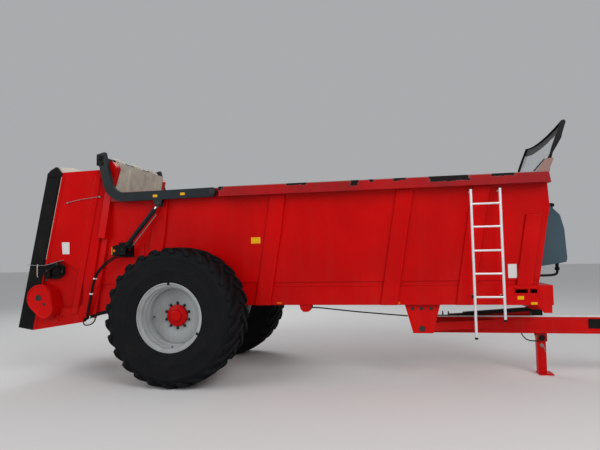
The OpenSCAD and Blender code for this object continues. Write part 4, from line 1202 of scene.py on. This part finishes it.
    def latch_bits(self) -> Shape:
        """Return the bare bolt heads of the latch."""
        places = ((-2086, 1560, 92), (-2092, 1425, 86), (-1952, 1652, 92), (-1905, 1540, 42))
        return Shape.bolts("latch_bits", [self.skin(*place) for place in places], self.away(), 12)

    def case_cover(self) -> Shape:
        """Return the chain case's cover: a rim round a sunk face."""
        outline = []
        for x, z, radius, start, turn in ((-2150, 1158, 194, 11.4, 215.6), (-2070, 1015, 144, 227.0, 144.4)):
            for k in range(25):
                angle = math.radians(start + turn * k / 24)
                outline.append((x + radius * math.cos(angle), z + radius * math.sin(angle)))
        cover = Shape.slab("case_covers", outline, -1119.5, -12).pick(RIGHT, 0.9)
        return cover.inset(18).inset(6, -9).crisp(3)

    def case_hub(self) -> Shape:
        """Return the dark shaft end and the rusty boss on the chain case's face."""
        hub = Shape.turned("case_hubs", self.CASE_HUB, (-2160, -1122.5, 1165), RIGHT, 40).smooth()
        return hub.join([Shape.turned("boss", self.BOSS, (-2070, -1122.5, 1075), RIGHT, 40).smooth()])

    def knob(self) -> Shape:
        """Return the bright knob beside the chain case."""
        return Shape.turned("case_knobs", self.KNOB, self.skin(-1999, 1178), self.away(), 24).smooth()

    def guide_rod(self) -> Shape:
        """Return the thin rod across the hood's upper part, in its two dark eyes."""
        rod = self.line("guide_rods", self.GUIDE, 4.5, 8)
        for x, z, _ in (self.GUIDE[0], self.GUIDE[-1]):
            outline = ((x - 12, z - 14), (x + 12, z - 12), (x + 12, z + 10), (x - 12, z + 8))
            rod.join([self.sheet("eye", outline, -1, 31, 3)])
        return rod

    def tabs(self) -> Shape:
        """Return the small folded tabs below the chain case and the bolt at the hood's foot."""
        parts = []
        for x, z, thick in ((-2050, 842, 30), (-2010, 836, 22), (-1970, 832, 30)):
            outline = ((x, z), (x + 26, z + 4), (x + 46, z + 62), (x + 16, z + 58))
            parts.append(self.sheet("hood_tabs", outline, -1, thick, 3))
        parts.append(Shape.bolts("stud", [self.skin(-1798, 777, 1)], self.away(), 12))
        return Shape.merged(parts)

    def post_web(self) -> Shape:
        """Return the web that closes the rear post between the flared wall and its outer face."""
        outline = ((1018, -735), (1018, -842), (1695, -842), (1695, -806))
        rings = [[leaning(along, y, up) for up, y in outline] for along in (50, 58)]
        return Shape.swept("post_webs", rings).crisp(1)

    def foot_gusset(self) -> Shape:
        """Return the plate between the rear post's foot and the sill."""
        outline = ((-1500, 1030), (-1080, 1030), (-1180, 985), (-1350, 930), (-1500, 880))
        return Shape.slab("foot_gussets", outline, -718, 8).crisp(1.5)

    def step_plate(self) -> Shape:
        """Return the bright oval plate inside the rubber loop."""
        turns = [(math.cos(math.tau * k / 24), math.sin(math.tau * k / 24)) for k in range(24)]
        outline = [(-1522 + 66 * near - 10 * far, 800 + 22 * near + 32 * far) for near, far in turns]
        stalk = Shape.rod("stalk", (-1530, -842, 805), (-1545, -800, 870), 8, 12)
        return Shape.slab("step_plates", outline, -846, 10).crisp(3).join([stalk])


@dataclass
class Drive:
    """Floor chains with their sprockets, tail lamps and bolts of gearbox and slats."""

    chain_y: float = 420
    chain_z: float = 1196
    ends: Flat = (-1470, 4180)
    pitch_r: float = 50
    links: int = 200
    wire: float = 5.2
    bow: float = 9.3

    SPROCKET: ClassVar[Line] = (
        (34.5, -20), (36, -22), (42, -22), (44, -18), (40, -13), (38.5, 0), (40, 13), (44, 18), (42, 22),
        (36, 22), (34.5, 20))

    def build(self) -> None:
        """Build the drive's pieces."""
        self.chains().dress(Finish.STEEL, stands_for=["floor_chains"])
        self.sprockets().dress(Finish.CAST)
        self.lamps()
        places = [(4970.5, y, z) for y in (-92, 92) for z in (1002, 1075, 1148)]
        side = Shape.bolts("side_bolts", [(x, -110.5, z) for x in (4882, 4948) for z in (1005, 1145)], RIGHT, 9)
        Shape.bolts("gear_bolts", places, (1.0, 0.0, 0.0), 10).join([side]).dress(Finish.STEEL)
        places = [(-1375 + 360 * k + dx, sign * self.chain_y, 1278.5)
                  for k in range(16) for sign in SIDES for dx in (-13, 13)]
        Shape.bolts("slat_bolts", places, UP, 7).dress(Finish.CAST)

    def place(self, part: float) -> Matrix:
        """Return the place and turn of a link, a part of the way round its chain."""
        first, last = self.ends
        run = last - first
        arc = math.pi * self.pitch_r
        way = part * 2 * (run + arc)
        if way < run:
            x, angle = first + way, 0.0
        elif way < run + arc:
            x, angle = last, (way - run) / self.pitch_r
        elif way < 2 * run + arc:
            x, angle = last - (way - run - arc), math.pi
        else:
            x, angle = first, math.pi + (way - 2 * run - arc) / self.pitch_r
        place = at(x + self.pitch_r * math.sin(angle), -self.chain_y,
                   self.chain_z + self.pitch_r * math.cos(angle))
        return Matrix.Translation(place) @ Matrix.Rotation(angle, 4, "Y")

    def chains(self) -> Shape:
        """Return the two round-link chains, one link modelled once and copied round."""
        pitch = 2 * (self.ends[1] - self.ends[0] + math.pi * self.pitch_r) / self.links
        half = pitch / 2 + self.wire - 9.5
        rings = []
        for side in (0.0, math.pi):
            for k in range(4):
                angle = side - math.pi / 2 + math.pi * k / 3
                out = Vector((math.cos(angle), math.sin(angle), 0.0))
                point = Vector((half if side == 0.0 else -half, 0.0, 0.0)) + self.bow * out
                rings.append([(point + self.wire * (math.cos(math.tau * s / 5) * out
                                                    + math.sin(math.tau * s / 5) * Vector(UP))) / 1000
                              for s in range(5)])
        turn = Matrix.Rotation(math.radians(90), 4, "X")
        moves = [self.place(k / self.links) @ (turn if k % 2 else Matrix.Identity(4))
                 for k in range(self.links)]
        return self.ring("chain_links", rings).spread(moves).smooth(60).doubled()

    @staticmethod
    def ring(name: str, rings: Sequence[Sequence[Vector]]) -> Shape:
        """Return a closed loop of tube through rings of points."""
        Shape.clear()
        bpy.ops.mesh.primitive_circle_add(vertices=len(rings[0]), fill_type="NOTHING")
        shape = Shape(name)
        data = bmesh.new()
        points = [[data.verts.new(point) for point in ring] for ring in rings]
        count = len(rings[0])
        for k, near in enumerate(points):
            far = points[(k + 1) % len(points)]
            for s in range(count):
                data.faces.new((near[s], near[(s + 1) % count], far[(s + 1) % count], far[s]))
        data.to_mesh(shape.obj.data)
        data.free()
        return shape.close()

    def sprockets(self) -> Shape:
        """Return the pocket wheels of the chains."""
        wheels = [Shape.turned("sprockets", self.SPROCKET, (x, y, self.chain_z), LEFT, 24, True)
                  for x in self.ends for y in (-self.chain_y, self.chain_y)]
        return Shape.merged([wheel.smooth() for wheel in wheels])

    def lamps(self) -> None:
        """Build the tail lamps' black housings and their ribbed red lenses."""
        low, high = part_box("tail_lamps")
        rear, front = ((corner[0] - SHIFT) * 1000 for corner in (low, high))
        foot, top = low[2] * 1000, high[2] * 1000
        cases = [Shape.beside("lamp_housings", sign, (rear + 12, 694, foot - 8), (front + 1, 906, top + 8))
                 for sign in SIDES]
        Shape.merged([case.crisp(4) for case in cases]).dress(Finish.BLACK)
        lenses = [Shape.beside("lamp_lenses", sign, (rear, y, foot + 4), (rear + 14, y + 62, top - 4))
                  for sign in SIDES for y in (702, 768.7, 835.4)]
        lens = Shape.merged([lens.soften(4, 3).smooth() for lens in lenses])
        lens.dress(Finish.LAMP, stands_for=["tail_lamps"])


@dataclass
class Lift:
    """The door's two arms, their pins, the lift cylinders and the door's own fittings."""

    pivot: Flat = (420, 2620)
    foot: Flat = (-950, 1840)
    head: Flat = (-400, 2485)
    tube: Flat = (-1310, 3200)
    arm_in: float = 850.2
    arm_out: float = 920.2

    BARREL: ClassVar[Line] = (
        (20.5, 758), (20.5, 70), (0.5, 68), (0.5, 0), (20, 2), (29, 30), (31, 36), (31, 46), (32, 48),
        (32, 700), (35.5, 702), (36, 705), (36, 716), (33, 717), (33, 721), (36, 722), (36, 752), (34, 757))
    ROD: ClassVar[Line] = ((0.5, 75), (19, 75), (20, 78), (20, 798), (23, 802), (23, 826), (0.5, 840))
    FOOT_EYE: ClassVar[Line] = ((0.5, -30), (30, -30), (34, -26), (34, 26), (30, 30), (0.5, 30))
    FOOT_PIN: ClassVar[Line] = ((0.5, -42.5), (15, -42.5), (15, 43), (20, 43.2), (20, 48), (17, 50), (0.5, 50))
    ROD_EYE: ClassVar[Line] = ((15.5, -18), (27, -18), (30, -15), (30, 15), (27, 18), (15.5, 18))
    ARM_PIN: ClassVar[Line] = ((0.5, 16), (18, 15), (24, 10), (26, 4), (40, 3), (43, 0), (43, -1), (0.5, -1))
    HEAD_PIN: ClassVar[Line] = ((0.5, 18), (20, 17), (24, 14), (24, 8), (30, 6), (30, -1), (0.5, -1))
    CHEEK: ClassVar[Line] = ((0.5, 14), (26, 13), (34, 8), (36, 0), (36, -2), (0.5, -2))
    SPOT: ClassVar[Line] = ((0.5, 10), (14, 8), (20, 2), (20, -2), (0.5, -2))
    # Plates beside each cylinder's bracket: name, finish, rounding and two corners
    TABS: ClassVar[tuple[tuple, ...]] = (
        ("lift_plate", Finish.BODY, 4, (-895, 719.5, 1738), (-705, 732, 1925)),
        ("bracket_tab", Finish.BLACK, 3, (-1114, 924, 1752), (-1046, 937, 1892)),
        ("bracket_strip", Finish.YELLOW, 1, (-1112, 936, 1765), (-1102, 939.5, 1880)))
    # Outlines of a hanger's cheek and of its web
    HANGER: ClassVar[Line] = (
        (-1335, 3150), (-1300, 3165), (-1178, 3158), (-1110, 3064), (-1196, 2790), (-1230, 2790),
        (-1290, 2960))
    WEB: ClassVar[Line] = (
        (-1178, 3158), (-1110, 3064), (-1196, 2790), (-1202, 2792), (-1117, 3064), (-1182, 3152))

    def build(self) -> None:
        """Build both sides of the lift and the door's fittings."""
        for side, sign in (("right", -1.0), ("left", 1.0)):
            self.cylinder(side, sign)
            self.arm_fittings(side, sign)
            for name, finish, edge, low, high in self.TABS:
                Shape.beside(f"{name}_{side}", sign, low, high).crisp(edge).dress(finish)
            out = (0.0, sign, 0.0)
            spot = Shape.turned(f"bracket_spot_{side}", self.SPOT, (-1073, sign * 937, 1824), out, 24)
            spot.smooth().dress(Finish.AMBER)
            self.hanger(side, sign).dress(Finish.BODY, "door")
        y = -self.arm_out
        labels = [Shape.block("arm_labels", (x - 34, y - 1.5, z - 18), (x + 34, y + 1, z + 18))
                  for x, z in ((-440, 2600), (-20, 2612))]
        Shape.merged([label.crisp(0.6) for label in labels]).dress(Finish.YELLOW, "door_lift")
        self.rims().dress(Finish.WORN, "door")

    def cylinder(self, side: str, sign: float) -> None:
        """Build one cylinder: barrel with eye, pin and ports, its pipe, and the chromed rod with its eye."""
        y = sign * (self.arm_in + self.arm_out) / 2
        start = Vector((self.foot[0], y, self.foot[1]))
        way = Vector((self.head[0] - self.foot[0], 0.0, self.head[1] - self.foot[1])).normalized()
        down = Vector((way.z, 0.0, -way.x))
        parts = [Shape.turned("eye", self.FOOT_EYE, start, LEFT, 32),
                 Shape.turned("pin", self.FOOT_PIN, start, (0.0, sign, 0.0), 24)]
        low, high = (start + way * along for along in (70, 698))
        for place in (low, high):
            parts.append(Shape.rod("port", place + down * 26, place + down * 44, 11, 16).soften(1.5))
            parts.append(Shape.rod("nut", place + down * 42, place + down * 56, 12, 6).soften(1))
        barrel = Shape.turned(f"barrel_{side}_seen", self.BARREL, start, way, 32, True).join(parts).smooth()
        barrel.dress(Finish.SLATE, "lift_barrels", ["lift_barrels"])
        points = [high + down * 50, high + down * 66, high + down * 74 - way * 20, high + down * 70 - way * 60,
                  low + down * 72 + way * 200, low + down * 72 + way * 70]
        Shape.pipe(f"cylinder_pipe_{side}", points, 6, 8).smooth().dress(Finish.STEEL, "lift_barrels")
        rod = Shape.turned(f"rod_{side}_seen", self.ROD, start, way, 32).smooth()
        rod.dress(Finish.CHROME, "lift_rods", ["lift_rods"])
        eye = Shape.turned(f"rod_eye_{side}", self.ROD_EYE, (self.head[0], y, self.head[1]), LEFT, 32, True)
        eye.smooth().dress(Finish.CAST, "lift_rods")

    def arm_fittings(self, side: str, sign: float) -> None:
        """Build the pins, caps and end block of one arm."""
        out = (0.0, sign, 0.0)
        pins = ((f"arm_pins_{side}", self.ARM_PIN, self.pivot, 10.5, "chassis"),
                (f"rod_pin_{side}", self.HEAD_PIN, self.head, -1, "door_lift"))
        for name, profile, (x, z), away, body in pins:
            pin = Shape.turned(name, profile, (x, sign * (self.arm_out + away), z), out, 28).smooth()
            pin.dress(Finish.CAST, body)
        x, z = self.tube
        y = sign * (self.arm_out + 7)
        block = Shape.beside(f"arm_block_{side}", sign, (x - 62, self.arm_in - 8, z - 112),
                             (x + 50, self.arm_out + 8, z + 42)).soften(10, 3)
        cheek = Shape.turned("cheek", self.CHEEK, (x, y, z - 10), out, 28)
        bolts = Shape.bolts("block_bolts", [(x + 30, y, z - 85), (x - 40, y, z - 85)], out, 10)
        block.join([cheek, bolts]).crisp(2).dress(Finish.BLACK, "door_lift")

    def rims(self) -> Shape:
        """Return the rims on the door panel's face, built in the frame that leans with it."""
        bars = [("door_rims", sign * 655 - 20, sign * 655 + 20, 300, 1560, 68) for sign in SIDES]
        bars += [("door_rim", -620, 620, up, up + 40, 72) for up in (340, 1200)]
        rims = []
        for name, y0, y1, low, high, front in bars:
            corners = ((59, y0), (front, y0), (front, y1), (59, y1))
            rings = [[leaning(along, y, up) for along, y in corners] for up in (low, high)]
            rims.append(Shape.swept(name, rings).crisp(3))
        return Shape.merged(rims)

    def hanger(self, side: str, sign: float) -> Shape:
        """Return one folded red channel that hangs the panel from the cross tube."""
        parts = [Shape.slab(f"door_hanger_{side}", self.HANGER, sign * y - 3, 6) for y in (689, 812)]
        parts.append(Shape.slab("web", self.WEB, sign * 750.5 - 64.5, 129))
        return Shape.merged([part.crisp(1.5) for part in parts])


@dataclass
class Drawbar:
    """What stands on the drawbar: spring clamps, a white pipe along the top that is a painted highlight of the
    sun's glare on the top face, seams, bolts, pad, band hose and stand's pins.
    """

    half: float = 100
    low: float = 570
    high: float = 790

    # Route of the white pipe along the drawbar's top: a painted highlight of the sun's glare on the top face
    GLARE_ROUTE: ClassVar[Route] = (
        (3240, -150, 812), (3300, -142, 808), (3500, -112, 802), (3900, -87, 801), (4900, -87, 801),
        (5500, -87, 801), (6000, -87, 801))
    LOOP: ClassVar[Route] = (
        (4607, -78, 590), (4612, -78, 560), (4630, -78, 526), (4664, -78, 489), (4712, -77, 468),
        (4765, -74, 462), (4810, -71, 462), (4838, -70, 463))
    CAP: ClassVar[Line] = ((0.5, 18), (30, 16), (36, 10), (38, 0), (52, -1), (52, -6), (0.5, -6))
    HANDLE: ClassVar[Line] = ((0.5, 12), (22, 10), (26, 4), (26, -2), (0.5, -2))
    GRIP: ClassVar[Route] = (
        (4870, -64, 400), (4870, -85, 400), (4880, -96, 392), (4900, -98, 360), (4902, -98, 320))
    HINGE: ClassVar[Line] = ((0.5, 16), (22, 14), (28, 6), (28, 0), (40, -2), (40, -6), (0.5, -6))

    def build(self) -> None:
        """Build the drawbar's fittings."""
        self.spring_clamps().dress(Finish.STEEL)
        # White pipe along the top: painted highlight of the sun's glare on the drawbar's top face
        Shape.pipe("drawbar_pipe", self.GLARE_ROUTE, 11.5, 8).smooth().dress(Finish.WHITE)
        self.seams().dress(Finish.BODY)
        self.bolts().dress(Finish.CAST)
        self.end_wrap().dress(Finish.RUBBER)
        hose("loop_hose", self.LOOP, 8, 10)
        handle = Shape.turned("stand_fittings", self.HANDLE, (4870, -55.5, 400), RIGHT, 24)
        handle.join([Shape.pipe("grip", self.GRIP, 6, 8)]).smooth().dress(Finish.STEEL, "stand")
        heads = [Shape.turned("stand_pins", self.HINGE, (4870, sign * 82.5, 505), (0.0, sign, 0.0), 28).smooth()
                 for sign in SIDES]
        Shape.merged(heads).dress(Finish.BLACK)

    def spring_clamps(self) -> Shape:
        """Return the U-bolts that hold the leaf spring, and their lugs."""
        low = self.high - 40
        parts = []
        for x, top in ((3490, 850), (3570, 852), (3650, 848)):
            points = [(x, -52, low), (x, -52, top - 12), (x, -40, top + 4), (x, 40, top + 4), (x, 52, top - 12),
                      (x, 52, low)]
            parts.append(Shape.pipe("spring_clamps", points, 7, 8, 3))
        for x in (3490, 3650):
            lug = Shape.block("lug", (x - 12, -62, self.high - 4), (x + 12, 62, self.high + 8))
            parts.append(lug.soften(3))
        return Shape.merged(parts).smooth()

    def seams(self) -> Shape:
        """Return the weld seams along the drawbar."""
        beads = []
        for sign in SIDES:
            for z in (self.low + 28, self.high - 28):
                points = [(x, sign * (self.half + 0.5), z) for x in (3360, 4200, 5100, 6190)]
                beads.append(Shape.pipe("drawbar_seams", points, 5, 8, 2))
        return Shape.merged(beads).smooth()

    def bolts(self) -> Shape:
        """Return the bolts of the drawbar's brackets."""
        made = []
        for sign in SIDES:
            out = (0.0, sign, 0.0)
            places = [(x, sign * 654.5, 965) for x in (3130, 3250, 3370)]
            made.append(Shape.bolts("drawbar_bolts", places, out, 16))
            made.append(Shape.turned("cap", self.CAP, (3250, sign * 655, 700), out, 32).smooth())
        return Shape.merged(made)

    def end_wrap(self) -> Shape:
        """Return the black pad on the drawbar's side and the band near its front end."""
        grow = 4
        pad = Shape.block("drawbar_bands", (5460, -self.half - 6, 640), (5620, -self.half + 2, 770))
        band = Shape.block("band", (5960, -self.half - grow, self.low - grow),
                           (6020, self.half + grow, self.high + grow))
        return pad.soften(3, 3).join([band.soften(6, 3)]).crisp(1)


def main() -> None:
    """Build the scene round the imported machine."""
    logging.basicConfig(level=logging.INFO, format="%(message)s")
    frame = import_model()
    Studio().build()
    for node, finish in KEPT.items():
        materials = frame["nodes"][node].data.materials
        materials.clear()
        materials.append(finish.material())
    round_nodes(frame)
    for part in (Wheel("right"), Wheel("left"), Front(), Hood(), Lift(), Drawbar(), Body(), Drive()):
        part.build()


if __name__ == "__main__":
    main()
